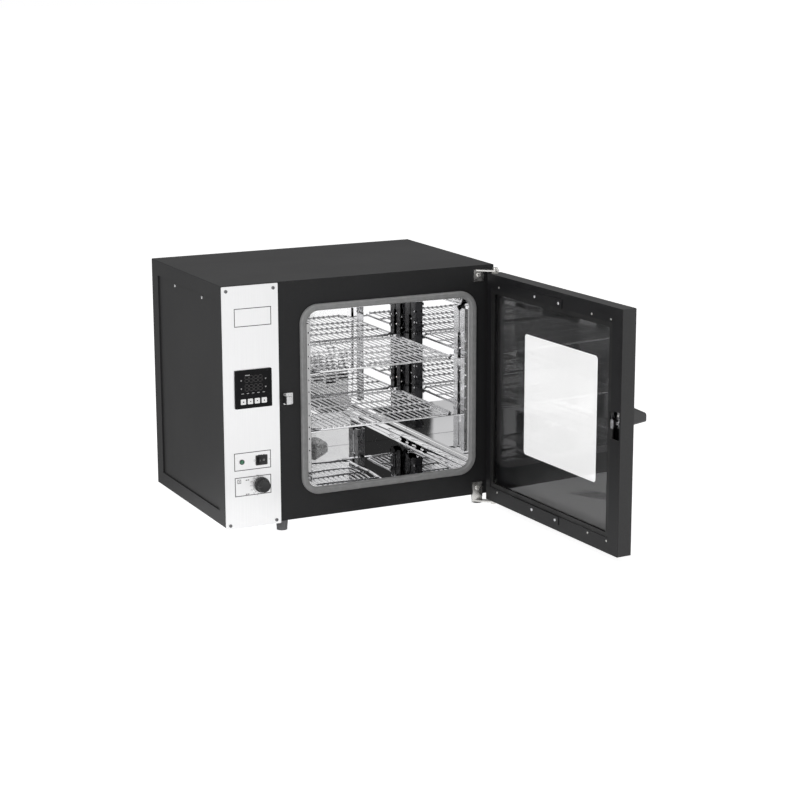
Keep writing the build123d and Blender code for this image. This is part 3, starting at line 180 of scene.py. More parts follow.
def coated(name, color, roughness):
    """Powder coat as a finish still open to changes: orange peel, fine grit and a slow change of gloss."""
    finish = Finish(name, color, roughness, Specular_IOR_Level=0.26)
    finish.tint(finish.noise(260.0, 4.0), shade(color, 0.93), shade(color, 1.07))
    finish.worn(finish.noise(5.0, 3.0), roughness - 0.02, roughness + 0.03)
    finish.bump(finish.noise(420.0, 2.0), 0.25, 0.00016)
    return finish.bump(finish.noise(1900.0, 2.0), 0.2, 0.00005)


def powder_coat(name, color):
    return coated(name, color, 0.5).material


def door_coat(name, edge, inside):
    """Powder coat of the door, darker on the flange that faces the chamber."""
    finish = coated(name, edge, 0.48)
    normal = Vector((-math.sin(OPEN_ANGLE), math.cos(OPEN_ANGLE), 0.0))
    reach = finish.node("ShaderNodeVectorMath", {0: finish.place, 1: normal}, operation="DOT_PRODUCT")
    flange = normal.dot(PIN * MM - ORIGIN) + (DOOR_IN - PIN.y) * MM
    facing = finish.ramp(reach.outputs["Value"], flange - 0.0009, flange - 0.0004)
    base = finish.shader.inputs["Base Color"]
    mix = finish.node("ShaderNodeMix", data_type="RGBA")
    finish.link(facing, mix.inputs["Factor"])
    finish.link(base.links[0].from_socket, mix.inputs["A"])
    mix.inputs["B"].default_value = (*inside, 1.0)
    finish.link(mix.outputs["Result"], base)
    return finish.material


def polished_steel(name, color, roughness, wave=0.0011):
    """Mirror-polished sheet, a little wavy, with fine wiping marks."""
    finish = Finish(name, color, roughness, metallic=1.0)
    finish.worn(finish.noise(38.0, 5.0), roughness * 0.7, roughness * 1.5)
    finish.bump(finish.noise(5.5, 1.0), 0.5, wave)
    return finish.bump(finish.noise(60.0, 2.0), 0.06, 0.00002).material


def strip_steel(name, polished, fold_shade, dark):
    """Strips along the chamber walls: polished steel, with painted shade of the gasket on the front fold and
    a painted dark reflection at the rear.
    """
    finish = Finish(name, polished, 0.14, metallic=1.0)
    finish.worn(finish.noise(38.0, 5.0), 0.1, 0.2)
    parts = finish.node("ShaderNodeSeparateXYZ", {0: finish.place}).outputs
    reach = 300.0
    depth = finish.ramp(parts["Y"], -ORIGIN.y, reach * MM - ORIGIN.y)
    bands = finish.node("ShaderNodeValToRGB", {"Fac": depth})
    stops = bands.color_ramp.elements
    # Front 3 mm: painted shade of the gasket, mid-grey on the fold.
    stops[0].position, stops[0].color = 3.0 / reach, (*fold_shade, 1.0)
    stops[1].position, stops[1].color = 3.3 / reach, (*polished, 1.0)
    # From 235 mm back: a painted dark reflection, near black.
    for place, color in ((230.0, polished), (235.0, dark)):
        stop = stops.new(place / reach)
        stop.color = (*color, 1.0)
    finish.link(bands.outputs["Color"], finish.shader.inputs["Base Color"])
    return finish.bump(finish.noise(60.0, 2.0), 0.06, 0.00002).material


def brushed_steel(name, color, roughness, grain=(900.0, 900.0, 9.0)):
    """Sheet with a straight grain along one axis."""
    finish = Finish(name, color, roughness, metallic=1.0, Anisotropic=0.55)
    streaks = finish.noise(1.0, 4.0, grain, 0.6)
    finish.tint(streaks, shade(color, 0.965), shade(color, 1.02))
    finish.worn(streaks, roughness - 0.03, roughness + 0.05)
    return finish.bump(streaks, 0.06, 0.00003).material


def plated_metal(name, color, roughness):
    """Nickel or zinc plate with faint clouding."""
    finish = Finish(name, color, roughness, metallic=1.0)
    clouds = finish.noise(120.0, 5.0)
    finish.tint(clouds, shade(color, 0.85), shade(color, 1.1))
    finish.worn(clouds, roughness * 0.7, roughness * 1.5)
    return finish.bump(finish.noise(700.0, 2.0), 0.15, 0.00005).material


def rubber(name, color, roughness):
    """Moulded rubber: matt skin with a soft mottle."""
    finish = Finish(name, color, roughness, Specular_IOR_Level=0.35)
    finish.tint(finish.noise(90.0, 5.0), shade(color, 0.88), shade(color, 1.1))
    finish.worn(finish.noise(45.0, 3.0), roughness - 0.08, roughness + 0.1)
    return finish.bump(finish.noise(1300.0, 3.0), 0.3, 0.00008).material


def moulded_plastic(name, color, roughness, grain=2300.0, shine=0.5):
    """Moulded plastic with a spark-eroded grain."""
    finish = Finish(name, color, roughness, Specular_IOR_Level=shine)
    finish.tint(finish.noise(160.0, 3.0), shade(color, 0.9), shade(color, 1.12))
    finish.worn(finish.noise(25.0, 3.0), roughness - 0.05, roughness + 0.08)
    return finish.bump(finish.cells(grain), 0.3, 0.00006).material


def lit_key(name, color):
    """White key with a faint painted glow: an emission that brightens it, with no light behind it."""
    material = moulded_plastic(name, color, 0.3)
    shader = material.node_tree.nodes["Principled BSDF"]
    # Painted glow: faint white emission over the key's colour.
    shader.inputs["Emission Color"].default_value = (1.0, 1.0, 1.0, 1.0)
    shader.inputs["Emission Strength"].default_value = 0.3
    return material


def clear_glass(name, tint):
    """Clear pane with barely visible smears."""
    finish = Finish(name, tint, 0.0, Transmission_Weight=1.0, IOR=1.3)
    smears = finish.ramp(finish.noise(9.0, 6.0), 0.45, 0.8, 0.0, 0.035)
    finish.link(smears, finish.shader.inputs["Roughness"])
    return finish.material


def printed_ink(name, color, roughness=0.5):
    """Thin smooth coat, as a screen print or an enamel has."""
    finish = Finish(name, color, roughness)
    finish.tint(finish.noise(800.0, 2.0), shade(color, 0.8), color)
    return finish.bump(finish.noise(2500.0, 2.0), 0.1, 0.00002).material


def mineral_wool(name):
    """Felted yellow-grey fibres."""
    finish = Finish(name, (0.62, 0.54, 0.3), 0.95)
    fibres = finish.noise(1.0, 8.0, (160.0, 160.0, 700.0), 0.7)
    finish.tint(fibres, (0.42, 0.36, 0.2), (0.75, 0.68, 0.42))
    return finish.bump(fibres, 0.9, 0.002).material


def green_lens(name):
    """Green lamp lens with a lit heart and a faceted inside."""
    finish = Finish(name, (0.01, 0.19, 0.08), 0.18, Transmission_Weight=0.25, IOR=1.5, Coat_Weight=1.0,
                    Emission_Color=(0.0, 0.5, 0.18, 1.0), Emission_Strength=0.06)
    return finish.bump(finish.cells(900.0), 0.5, 0.0002).material


M = {
    "charcoal": powder_coat("charcoal_powder_coat", (0.033, 0.033, 0.034)),
    # Darker copy of the casing's coat: painted shade on the front frame, which gets less light than the left
    # side.
    "front_painted_shade_coat": powder_coat("front_powder_coat", (0.017, 0.017, 0.018)),
    "door_coat": door_coat("door_powder_coat", (0.06, 0.06, 0.061), (0.01, 0.01, 0.011)),
    "inner_black": printed_ink("inner_black_enamel", (0.013, 0.013, 0.014), 0.4),
    "galvanised": plated_metal("galvanised_sheet", (0.5, 0.51, 0.52), 0.42),
    "mirror": polished_steel("polished_chamber_steel", (0.9, 0.9, 0.905), 0.012),
    # Strip colours: polished steel, painted gasket shade at the front fold, painted dark reflection at the
    # rear.
    "strip": strip_steel("polished_strip_steel", (0.84, 0.84, 0.85), (0.3, 0.3, 0.3),
                         (0.03, 0.03, 0.032)),
    "brushed": brushed_steel("brushed_front_steel", (0.84, 0.84, 0.845), 0.36),
    "plain_steel": brushed_steel("plain_steel", (0.5, 0.5, 0.51), 0.38, (60.0, 60.0, 900.0)),
    "nickel": plated_metal("satin_nickel", (0.66, 0.65, 0.63), 0.26),
    "hook": plated_metal("hook_chrome", (0.5, 0.5, 0.505), 0.16),
    "dark_zinc": plated_metal("dark_zinc", (0.2, 0.2, 0.205), 0.34),
    "bright": plated_metal("bright_chrome", (0.82, 0.82, 0.83), 0.12),
    "wire": plated_metal("plated_wire", (0.8, 0.8, 0.81), 0.17),
    "heater": plated_metal("heater_sheath", (0.3, 0.27, 0.24), 0.45),
    "silicone": rubber("grey_silicone", (0.38, 0.38, 0.38), 0.5),
    "seal": rubber("black_seal_rubber", (0.014, 0.014, 0.014), 0.55),
    "foot": rubber("grey_foot_rubber", (0.21, 0.21, 0.215), 0.62),
    "black": moulded_plastic("black_plastic", (0.016, 0.016, 0.017), 0.4),
    "housing": moulded_plastic("controller_plastic", (0.009, 0.009, 0.01), 0.5, 2300.0, 0.12),
    "handle": moulded_plastic("black_handle_plastic", (0.02, 0.02, 0.021), 0.36, 1500.0),
    "key": lit_key("white_key_plastic", (0.95, 0.95, 0.94)),
    "nylon": moulded_plastic("white_nylon", (0.72, 0.71, 0.66), 0.45),
    "lens": moulded_plastic("smoked_window", (0.005, 0.005, 0.006), 0.3, 300.0, 0.12),
    "green": green_lens("green_lamp_lens"),
    "glass": clear_glass("clear_pane", (0.93, 0.93, 0.93)),
    "wool": mineral_wool("mineral_wool_felt"),
    "ink": printed_ink("black_print", (0.012, 0.012, 0.012)),
    "grey_ink": printed_ink("pale_print", (0.75, 0.75, 0.75)),
    "faint_ink": printed_ink("faint_print", (0.14, 0.14, 0.14)),
    "dim_segment": printed_ink("unlit_segment", (0.05, 0.046, 0.046), 0.3),
}

NODE_FINISH = {
    "charcoal": ("outer_casing", "left_service_panel", "rear_panel"),
    # The front frame takes the darker copy of the coat: painted shade.
    "front_painted_shade_coat": ("front_frame",),
    "door_coat": ("door_shell", "glass_retainers"),
    "inner_black": ("inner_panel",),
    "galvanised": ("base_pan", "air_ducts", "electrics_plate", "motor_bracket"),
    "mirror": ("chamber_liner", "back_baffle"),
    "strip": ("support_strips",),
    "brushed": ("control_panel",),
    "plain_steel": ("fan_wheel", "fan_shaft", "fan_motor", "knob_shaft", "latch_block"),
    "nickel": ("hinge_brackets", "hinge_pins", "exhaust_tube", "bracket_screws", "panel_screws"),
    "hook": ("striker",),
    "bright": ("latch_spindle", "latch_roller", "temperature_probe", "door_screws"),
    "wire": ("shelf_clips", "lower_shelf", "upper_shelf"),
    "heater": ("heater_ring",),
    "silicone": ("door_gasket",),
    "seal": ("glass_seal", "window_seal"),
    "foot": ("feet",),
    "housing": ("controller_housing",),
    "black": ("switch_housing", "rocker", "temperature_knob", "lamp_holder",
              "limit_thermostat", "power_inlet", "fuse_holder", "vent_shutter", "terminal_block",
              "power_relay"),
    "handle": ("door_handle",),
    "key": ("key_set", "key_shift", "key_down", "key_up"),
    "nylon": ("hinge_bushes",),
    "lens": ("display_lens",),
    "green": ("indicator_lamp",),
    "glass": ("inner_glass", "outer_window"),
    "wool": ("insulation",),
}


def dress(name, finish):
    """Give a CAD node its finish."""
    mesh = nodes[name].data
    for index in range(len(mesh.materials)):
        mesh.materials[index] = M[finish]
    if not mesh.materials:
        mesh.materials.append(M[finish])


for finish_name, members in NODE_FINISH.items():
    for member in members:
        dress(member, finish_name)


# ---------------------------------------------------------------- growing what repeats
def set_down(name, data):
    """New object at the origin."""
    made = bpy.data.objects.new(name, data)
    bpy.context.collection.objects.link(made)
    return made


def result_of(thing):
    """Plain mesh of an object as it is evaluated."""
    graph = bpy.context.evaluated_depsgraph_get()
    return bpy.data.meshes.new_from_object(thing.evaluated_get(graph))


class Grower(Tree):
    """A Geometry Nodes tree with named sizes, a material and one incoming shape."""

    KINDS = {float: "NodeSocketFloat", int: "NodeSocketInt"}

    def __init__(self, name, shape=False, **sizes):
        super().__init__(bpy.data.node_groups.new(name, "GeometryNodeTree"))
        self.keys = {}
        self.tree.interface.new_socket("Geometry", in_out="OUTPUT", socket_type="NodeSocketGeometry")
        self.socket("Geometry", "NodeSocketGeometry")
        for label, value in sizes.items():
            self.socket(label, self.KINDS[type(value)]).default_value = value
        if shape:
            self.socket("Shape", "NodeSocketObject")
        self.socket("Material", "NodeSocketMaterial")
        self.given = self.tree.nodes.new("NodeGroupInput").outputs
        self.end = self.tree.nodes.new("NodeGroupOutput")

    def socket(self, label, kind):
        """Add a named input to the tree."""
        socket = self.tree.interface.new_socket(label, in_out="INPUT", socket_type=kind)
        self.keys[label] = socket.identifier
        return socket

    def vector(self, x=0.0, y=0.0, z=0.0):
        return self.out("ShaderNodeCombineXYZ", {"X": x, "Y": y, "Z": z})

    def shape(self):
        return self.node("GeometryNodeObjectInfo", {"Object": self.given["Shape"]}).outputs["Geometry"]

    def close(self, geometry, smooth=False):
        """Realize the instances, set the material and end the tree."""
        real = self.out("GeometryNodeRealizeInstances", {"Geometry": geometry})
        if smooth:
            real = self.out("GeometryNodeSetShadeSmooth", {"Geometry": real})
        painted = self.out("GeometryNodeSetMaterial", {"Geometry": real, "Material": self.given["Material"]})
        self.link(painted, self.end.inputs["Geometry"])
        return self

    def grow(self, name, material, start=None, **sizes):
        """Run the tree once and return its result as a plain mesh piece."""
        seed = set_down(name + "_seed", start or bpy.data.meshes.new(name + "_seed"))
        run = seed.modifiers.new("grow", "NODES")
        run.node_group = self.tree
        run[self.keys["Material"]] = M[material]
        for label, value in sizes.items():
            run[self.keys[label]] = value
        mesh = result_of(seed)
        bpy.data.objects.remove(seed)
        return set_down(name, mesh)


def bar_tree():
    """Straight round bars side by side along X."""
    g = Grower("side_by_side_bars", Count=24, First=0.0, Step=0.01, Front=0.0, Rear=0.1, Height=0.0,
               Radius=0.001)
    line = g.out("GeometryNodeMeshLine", {
        "Count": g.given["Count"],
        "Start Location": g.vector(g.given["First"], 0.0, g.given["Height"]),
        "Offset": g.vector(g.given["Step"]),
    })
    axis = g.out("GeometryNodeCurvePrimitiveLine", {
        "Start": g.vector(0.0, g.given["Front"]), "End": g.vector(0.0, g.given["Rear"])})
    ring = g.out("GeometryNodeCurvePrimitiveCircle", {"Resolution": 12, "Radius": g.given["Radius"]})
    bar = g.out("GeometryNodeCurveToMesh", {"Curve": axis, "Profile Curve": ring, "Fill Caps": True})
    bars = g.out("GeometryNodeInstanceOnPoints", {"Points": line, "Instance": bar})
    return g.close(bars, smooth=True)


def rim_tree():
    """Round rod bent along the seed's closed outline."""
    g = Grower("bent_rod", Radius=0.002, Bend=0.006)
    path = g.out("GeometryNodeMeshToCurve", {"Mesh": g.given["Geometry"]})
    soft = g.out("GeometryNodeFilletCurve", {
        "Curve": path, "Count": 8, "Radius": g.given["Bend"], "Limit Radius": True}, mode="POLY")
    ring = g.out("GeometryNodeCurvePrimitiveCircle", {"Resolution": 20, "Radius": g.given["Radius"]})
    rod = g.out("GeometryNodeCurveToMesh", {"Curve": soft, "Profile Curve": ring})
    return g.close(rod, smooth=True)


def planted_tree():
    """Copies of a shape on the seed's points, turned by the points' own angles."""
    g = Grower("planted_copies", shape=True)
    turn = g.out("GeometryNodeInputNamedAttribute", {"Name": "turn"}, data_type="FLOAT_VECTOR")
    rotation = g.out("FunctionNodeEulerToRotation", {"Euler": turn})
    return g.close(g.out("GeometryNodeInstanceOnPoints", {
        "Points": g.given["Geometry"], "Instance": g.shape(), "Rotation": rotation}))


def dial_tree():
    """Short marks round a centre on a face that looks along -Y."""
    g = Grower("dial_marks", Count=11, Ring=0.02, First=0.0, Sweep=3.0, Length=0.002, Width=0.0004,
               Thickness=0.0001)
    index = g.out("GeometryNodeInputIndex")
    share = g.calc("DIVIDE", index, g.calc("SUBTRACT", g.given["Count"], 1.0))
    angle = g.calc("ADD", g.given["First"], g.times(share, g.given["Sweep"]))
    x = g.times(g.calc("COSINE", angle), g.given["Ring"])
    z = g.times(g.calc("SINE", angle), g.given["Ring"])
    dots = g.out("GeometryNodePoints", {"Count": g.given["Count"], "Position": g.vector(x, 0.0, z)})
    mark = g.out("GeometryNodeMeshCube", {
        "Size": g.vector(g.given["Length"], g.given["Thickness"], g.given["Width"])})
    facing = g.out("FunctionNodeEulerToRotation", {"Euler": g.vector(0.0, g.times(angle, -1.0))})
    return g.close(g.out("GeometryNodeInstanceOnPoints", {
        "Points": dots, "Instance": mark, "Rotation": facing}))


def flute_tree():
    """Presses even flutes into the side of a round seed between two depths along Y."""
    g = Grower("fluted_grip", Flutes=18, Depth=0.001, Front=-0.02, Rear=-0.008, Edge=0.001)
    place = g.out("GeometryNodeInputPosition")
    parts = g.node("ShaderNodeSeparateXYZ", {0: place}).outputs
    angle = g.calc("ARCTAN2", parts["Z"], parts["X"])
    wave = g.calc("COSINE", g.times(angle, g.given["Flutes"]))
    bite = g.calc("POWER", g.times(g.calc("ADD", wave, 1.0), 0.5), 3.0)
    opening = g.ramp(parts["Y"], g.calc("SUBTRACT", g.given["Front"], g.given["Edge"]), g.given["Front"])
    closing = g.ramp(parts["Y"], g.given["Rear"], g.calc("ADD", g.given["Rear"], g.given["Edge"]), 1.0, 0.0)
    flat = g.vector(parts["X"], 0.0, parts["Z"])
    radius = g.node("ShaderNodeVectorMath", {0: flat}, operation="LENGTH").outputs["Value"]
    side = g.calc("GREATER_THAN", radius, KNOB_CORE * MM)
    depth = g.times(g.times(bite, g.given["Depth"]), g.times(opening, closing))
    shrink = g.calc("DIVIDE", g.times(g.times(depth, side), -1.0), radius)
    shift = g.vector(g.times(parts["X"], shrink), 0.0, g.times(parts["Z"], shrink))
    pressed = g.out("GeometryNodeSetPosition", {"Geometry": g.given["Geometry"], "Offset": shift})
    return g.close(pressed, smooth=True)


BARS = bar_tree()
RIM = rim_tree()
PLANTED = planted_tree()
DIAL = dial_tree()
FLUTES = flute_tree()


# ---------------------------------------------------------------- making shapes
def piece_from(name, vertices, faces, material, smooth=False):
    """Mesh piece at the origin from points in metres."""
    mesh = bpy.data.meshes.new(name)
    mesh.from_pydata(vertices, [], faces)
    mesh.materials.append(M[material])
    mesh.polygons.foreach_set("use_smooth", [smooth] * len(mesh.polygons))
    return set_down(name, mesh)


def moved(x, y, z):
    """Shift by millimetres."""
    return Matrix.Translation((x * MM, y * MM, z * MM))


def lathe(name, profile, material, steps=48):
    """Turned shape about Y from (radius, y) points in millimetres; the ends close on the axis."""
    vertices = []
    for radius, y in profile:
        for step in range(steps):
            a = 2 * math.pi * step / steps
            vertices.append((radius * MM * math.cos(a), y * MM, radius * MM * math.sin(a)))
    faces = []
    for ring in range(len(profile) - 1):
        for step in range(steps):
            following = (step + 1) % steps
            low, high = ring * steps, (ring + 1) * steps
            faces.append((low + step, high + step, high + following, low + following))
    faces.append(tuple(range(steps)))
    faces.append(tuple(reversed(range((len(profile) - 1) * steps, len(profile) * steps))))
    piece = piece_from(name, vertices, faces, material, smooth=True)
    settle(piece)
    return piece


def settle(piece):
    """Merge doubles and point every face outwards."""
    shape = bmesh.new()
    shape.from_mesh(piece.data)
    bmesh.ops.remove_doubles(shape, verts=shape.verts, dist=1e-6)
    bmesh.ops.recalc_face_normals(shape, faces=shape.faces)
    shape.to_mesh(piece.data)
    shape.free()


def finish_mesh(piece):
    """Apply the piece's modifiers and keep the result as its mesh."""
    mesh = result_of(piece)
    piece.modifiers.clear()
    piece.data = mesh


def carve(piece, cutter):
    """Cut one closed shape out of another."""
    cut = piece.modifiers.new("cut", "BOOLEAN")
    cut.object = cutter
    cut.solver = "EXACT"
    finish_mesh(piece)
    bpy.data.objects.remove(cutter)


def box_points(x0, x1, y0, y1, z0, z1):
    """Corners and faces of a box, millimetres in and metres out."""
    corners = [(x * MM, y * MM, z * MM) for x in (x0, x1) for y in (y0, y1) for z in (z0, z1)]
    faces = [(0, 1, 3, 2), (4, 6, 7, 5), (0, 4, 5, 1), (2, 3, 7, 6), (0, 2, 6, 4), (1, 5, 7, 3)]
    return corners, faces


def box_piece(name, limits, material):
    return piece_from(name, *box_points(*limits), material)


def join(name, parts, body, *stood_for):
    """Make one piece of several meshes and let it ride."""
    made = bmesh.new()
    materials = []
    for part in parts:
        start = len(made.faces)
        made.from_mesh(part.data)
        made.faces.ensure_lookup_table()
        slots = []
        for material in part.data.materials:
            if material not in materials:
                materials.append(material)
            slots.append(materials.index(material))
        for face in made.faces[start:]:
            face.material_index = slots[face.material_index] if slots else 0
    mesh = bpy.data.meshes.new(name)
    made.to_mesh(mesh)
    made.free()
    for material in materials:
        mesh.materials.append(material)
    for part in parts:
        bpy.data.objects.remove(part)
    carried(set_down(name, mesh), body, *stood_for)


def carried(piece, body, *stood_for):
    """Move a piece into the CAD frame and let it ride on a body, in place of the CAD nodes named."""
    piece.data.transform(Matrix.Translation(-ORIGIN))
    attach(piece, body)
    if stood_for:
        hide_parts(*stood_for)


def swung(point):
    """A point of the shut door, in millimetres, where the open door has it, in metres."""
    arm = Vector(point) - PIN
    return (Matrix.Rotation(OPEN_ANGLE, 3, "Z") @ arm + PIN) * MM


# ---------------------------------------------------------------- fasteners
def screw_head(name, radius, height, slot_half, slot_wide, material):
    """Pan head with a cross recess, its seat on y = 0 and its crown towards -Y."""
    outline = [(radius, 0.0), (radius, -height * 0.45), (radius * 0.86, -height * 0.78),
               (radius * 0.55, -height * 0.97), (0.02, -height)]
    head = lathe(name, outline, material, 28)
    for half, wide in ((slot_half, slot_wide), (slot_wide, slot_half)):
        cutter = box_piece("recess", (-half, half, -height * 1.6, -height * 0.42, -wide, wide), material)
        carve(head, cutter)
    return head


def plant(name, shape, points, material, body, *stood_for):
    """Set copies of a shape on points given as (place, euler) and let them ride."""
    mesh = bpy.data.meshes.new(name + "_points")
    mesh.from_pydata([place for place, _ in points], [], [])
    turn = mesh.attributes.new("turn", "FLOAT_VECTOR", "POINT")
    for index, (_, euler) in enumerate(points):
        turn.data[index].vector = euler
    carried(PLANTED.grow(name, material, mesh, Shape=shape), body, *stood_for)


def facing_front(x, z, y, spin):
    """Place and turn of a screw on a face that looks along -Y."""
    return (x * MM, y * MM, z * MM), (0.0, spin, 0.0)


def facing_left(y, z, x, spin):
    """Place and turn of a screw on a face that looks along -X."""
    turned = Matrix.Rotation(-math.pi / 2, 4, "Z") @ Matrix.Rotation(spin, 4, "Y")
    return (x * MM, y * MM, z * MM), tuple(turned.to_euler())


def on_door(x, z, y, spin):
    """Place and turn of a screw on the door's inner face, described shut."""
    turned = Matrix.Rotation(OPEN_ANGLE + math.pi, 4, "Z") @ Matrix.Rotation(spin, 4, "Y")
    return tuple(swung((x, y, z))), tuple(turned.to_euler())


SPINS = random.Random(5)


def spin():
    return SPINS.uniform(0.0, math.pi)


def add_fasteners():
    """Cross-recess screws on the strip, the side panel, the brackets, the striker and the door."""
    large = screw_head("large_head", 3.6, 2.0, 1.9, 0.42, "nickel")
    points = [facing_front(x, z, STRIP_FACE, spin()) for x, z in PANEL_SCREW_PLACES]
    plant("panel_screw_heads", large, points, "dark_zinc", "cabinet", "panel_screws")
    points = [facing_left(y, z, SERVICE_PANEL_FACE, spin()) for y, z in SERVICE_SCREW_PLACES]
    plant("side_screw_heads", large, points, "bright", "cabinet")
    bolt = screw_head("bolt_head", 5.2, 2.6, 2.8, 0.6, "nickel")
    points = [facing_front(274.25, z, -3.0, spin()) for z in (507.0, 37.5)]
    plant("hinge_screw_heads", bolt, points, "nickel", "cabinet")
    small = screw_head("small_head", 2.6, 1.5, 1.4, 0.32, "bright")
    x, z = STRIKER_SCREWS
    points = [facing_front(x, z + dz, -2.5, spin()) for dz in (-8.0, 8.0)]
    plant("striker_screw_heads", small, points, "bright", "cabinet", "bracket_screws")
    rim = screw_head("rim_head", 3.2, 1.5, 1.7, 0.36, "bright")
    points = [on_door(x, z, DOOR_IN + 1.2, spin()) for x in (38.0, 126.0) for z in (489.0, 35.5)]
    plant("retainer_screw_heads", rim, points, "bright", "door", "door_screws")
    dark = screw_head("dark_head", 2.2, 1.1, 1.2, 0.28, "nickel")
    across = (266.0, 190.0, -80.0, -146.0)
    points = [on_door(x, z, DOOR_IN, spin()) for x in across for z in (486.5, 38.5)]
    points.append(on_door(-176.5, 300.0, DOOR_IN, spin()))
    plant("flange_screw_heads", dark, points, "nickel", "door")
    for shape in (large, bolt, small, rim, dark):
        bpy.data.objects.remove(shape)


# ---------------------------------------------------------------- chamber strips
def add_strip_dimples():
    """Row of bright weld dimples down the front edge of both rear strips."""
    shape = lathe("dimple", [(2.5, 0.0), (2.3, -0.25), (1.2, -0.4), (0.02, -0.42)], "bright", 16)
    heights = [REAR_STRIP_MIDDLE + (i - (DIMPLES - 1) / 2) * DIMPLE_STEP for i in range(DIMPLES)]
    points = []
    for side in (-1, 1):
        x = CHAMBER_X + side * (CHAMBER_HALF - STRIP_LAND)
        turn = (0.0, 0.0, -side * math.pi / 2)
        points += [((x * MM, REAR_STRIP_EDGE * MM, z * MM), turn) for z in heights]
    plant("strip_dimples", shape, points, "bright", "cabinet")
    bpy.data.objects.remove(shape)


# ---------------------------------------------------------------- wire shelves
def outline_mesh(name, points):
    """Closed run of edges through points in millimetres."""
    mesh = bpy.data.meshes.new(name)
    count = len(points)
    edges = [(i, (i + 1) % count) for i in range(count)]
    mesh.from_pydata([tuple(c * MM for c in point) for point in points], edges, [])
    return mesh


def add_shelf(node):
    """Welded shelf: bent rim, three cross rails, lengthwise wires and their weld spots."""
    z = SHELF_HEIGHTS[node]
    x0, x1 = CHAMBER_X - SHELF_HALF, CHAMBER_X + SHELF_HALF
    y0, y1, c = SHELF_FRONT, SHELF_REAR, SHELF_CORNER
    corners = [(x0 + c, y0, z), (x1 - c, y0, z), (x1, y0 + c, z), (x1, y1 - c, z),
               (x1 - c, y1, z), (x0 + c, y1, z), (x0, y1 - c, z), (x0, y0 + c, z)]
    path = outline_mesh("rim_path", corners)
    rim = RIM.grow(node + "_rim", "wire", path, Radius=RIM_R * MM, Bend=6.0 * MM)
    step = (x1 - x0 - 2 * c) / (WIRES - 1)
    top = z + RIM_R + WIRE_R - 1.2
    wires = BARS.grow(node + "_wires", "wire", Count=WIRES, First=(x0 + c) * MM, Step=step * MM,
                      Front=(y0 - WIRE_PAST) * MM, Rear=(y1 + WIRE_PAST) * MM, Height=top * MM,
                      Radius=WIRE_R * MM)
    rails = BARS.grow(node + "_rails", "wire", Count=3, First=(y0 + RAIL_IN) * MM,
                      Step=((y1 - y0) / 2 - RAIL_IN) * MM, Front=-(x1 - WIRE_PAST) * MM,
                      Rear=-(x0 + WIRE_PAST) * MM, Height=(z - 0.8) * MM, Radius=BAR_R * MM)
    rails.data.transform(Matrix.Rotation(math.pi / 2, 4, "Z"))
    weld = lathe("weld_spot", [(0.9, -1.6), (1.9, -0.8), (2.2, 0.0), (1.9, 0.8), (0.9, 1.6)], "wire", 8)
    rows = (y0, y0 + RAIL_IN, (y0 + y1) / 2, y1 - RAIL_IN, y1)
    crossings = [(x0 + c + i * step, y) for i in range(WIRES) for y in rows]
    points = bpy.data.meshes.new("weld_points")
    points.from_pydata([(x * MM, y * MM, (top - 1.6) * MM) for x, y in crossings], [], [])
    points.attributes.new("turn", "FLOAT_VECTOR", "POINT")
    welds = PLANTED.grow(node + "_welds", "wire", points, Shape=weld)
    bpy.data.objects.remove(weld)
    join(node + "_wire", [rim, wires, rails, welds], node, node)


# ---------------------------------------------------------------- control strip
def bar(x0, x1, z0, z1, y, material, deep=0.04):
    """Flat printed bar on the front."""
    return box_piece("bar", (x0, x1, y - deep, y + deep, z0, z1), material)


def frame_bars(outline, wide, y):
    """The four bars of a printed frame inside the limits (x0, x1, z0, z1)."""
    x0, x1, z0, z1 = outline
    level = [(x0, x1, z0, z0 + wide), (x0, x1, z1 - wide, z1)]
    upright = [(x0, x0 + wide, z0, z1), (x1 - wide, x1, z0, z1)]
    return [bar(*side, y, "ink") for side in level + upright]


def add_frame_lines():
    """Thin printed frames round the name field, the lamp and switch, and the dial."""
    name_field = (-285.5, -204.5, 441.0, 479.0)
    switch_field = (-291.5, -210.2, 141.0, 178.8)
    dial_field = (-291.0, -210.5, 86.6, 127.0)
    parts = []
    for outline in (name_field, switch_field, dial_field):
        parts += frame_bars(outline, 1.5, STRIP_FACE - 0.02)
    join("printed_frames", parts, "cabinet")


def add_knob():
    """Fluted knob with a pressed crown, a skirt and a white pointer line."""
    profile = [(9.5, -2.8), (15.2, -2.8), (16.2, -3.4), (16.2, -7.0), (15.6, -7.9), (13.9, -8.2)]
    profile += [(13.7, -8.6)] + [(13.7, -8.6 - 1.1 * i) for i in range(1, 9)]
    profile += [(13.5, -18.6), (12.9, -19.5), (11.8, -20.0), (10.2, -19.9), (9.6, -19.4), (0.05, -19.3)]
    grip = lathe("knob_turned", profile, "black", 144)
    body = FLUTES.grow("knob_fluted", "black", grip.data.copy(), Flutes=18, Depth=1.2 * MM,
                       Front=-18.9 * MM, Rear=-8.4 * MM, Edge=0.8 * MM)
    bpy.data.objects.remove(grip)
    pointer = box_piece("pointer", (-12.6, -6.2, -20.06, -19.2, -0.4, 0.4), "faint_ink")
    side = box_piece("pointer_side", (-13.9, -12.4, -19.6, -10.8, -0.4, 0.4), "faint_ink")
    for part in (body, pointer, side):
        part.data.transform(moved(KNOB[0], 0.0, KNOB[1]))
    join("fluted_knob", [body, pointer, side], "temperature_knob", "temperature_knob")


def add_dial_print():
    """Scale marks left of the knob."""
    parts = []
    for name, count, ring, length, width in (("fine_marks", 25, 18.7, 1.6, 0.45),
                                             ("bold_marks", 7, 19.3, 2.8, 0.8)):
        marks = DIAL.grow(name, "ink", Count=count, Ring=ring * MM, First=math.radians(DIAL_FIRST),
                          Sweep=math.radians(DIAL_SWEEP), Length=length * MM, Width=width * MM,
                          Thickness=0.08 * MM)
        marks.data.transform(moved(KNOB[0], PRINT_Y, KNOB[1]))
        parts.append(marks)
    join("dial_scale", parts, "cabinet")


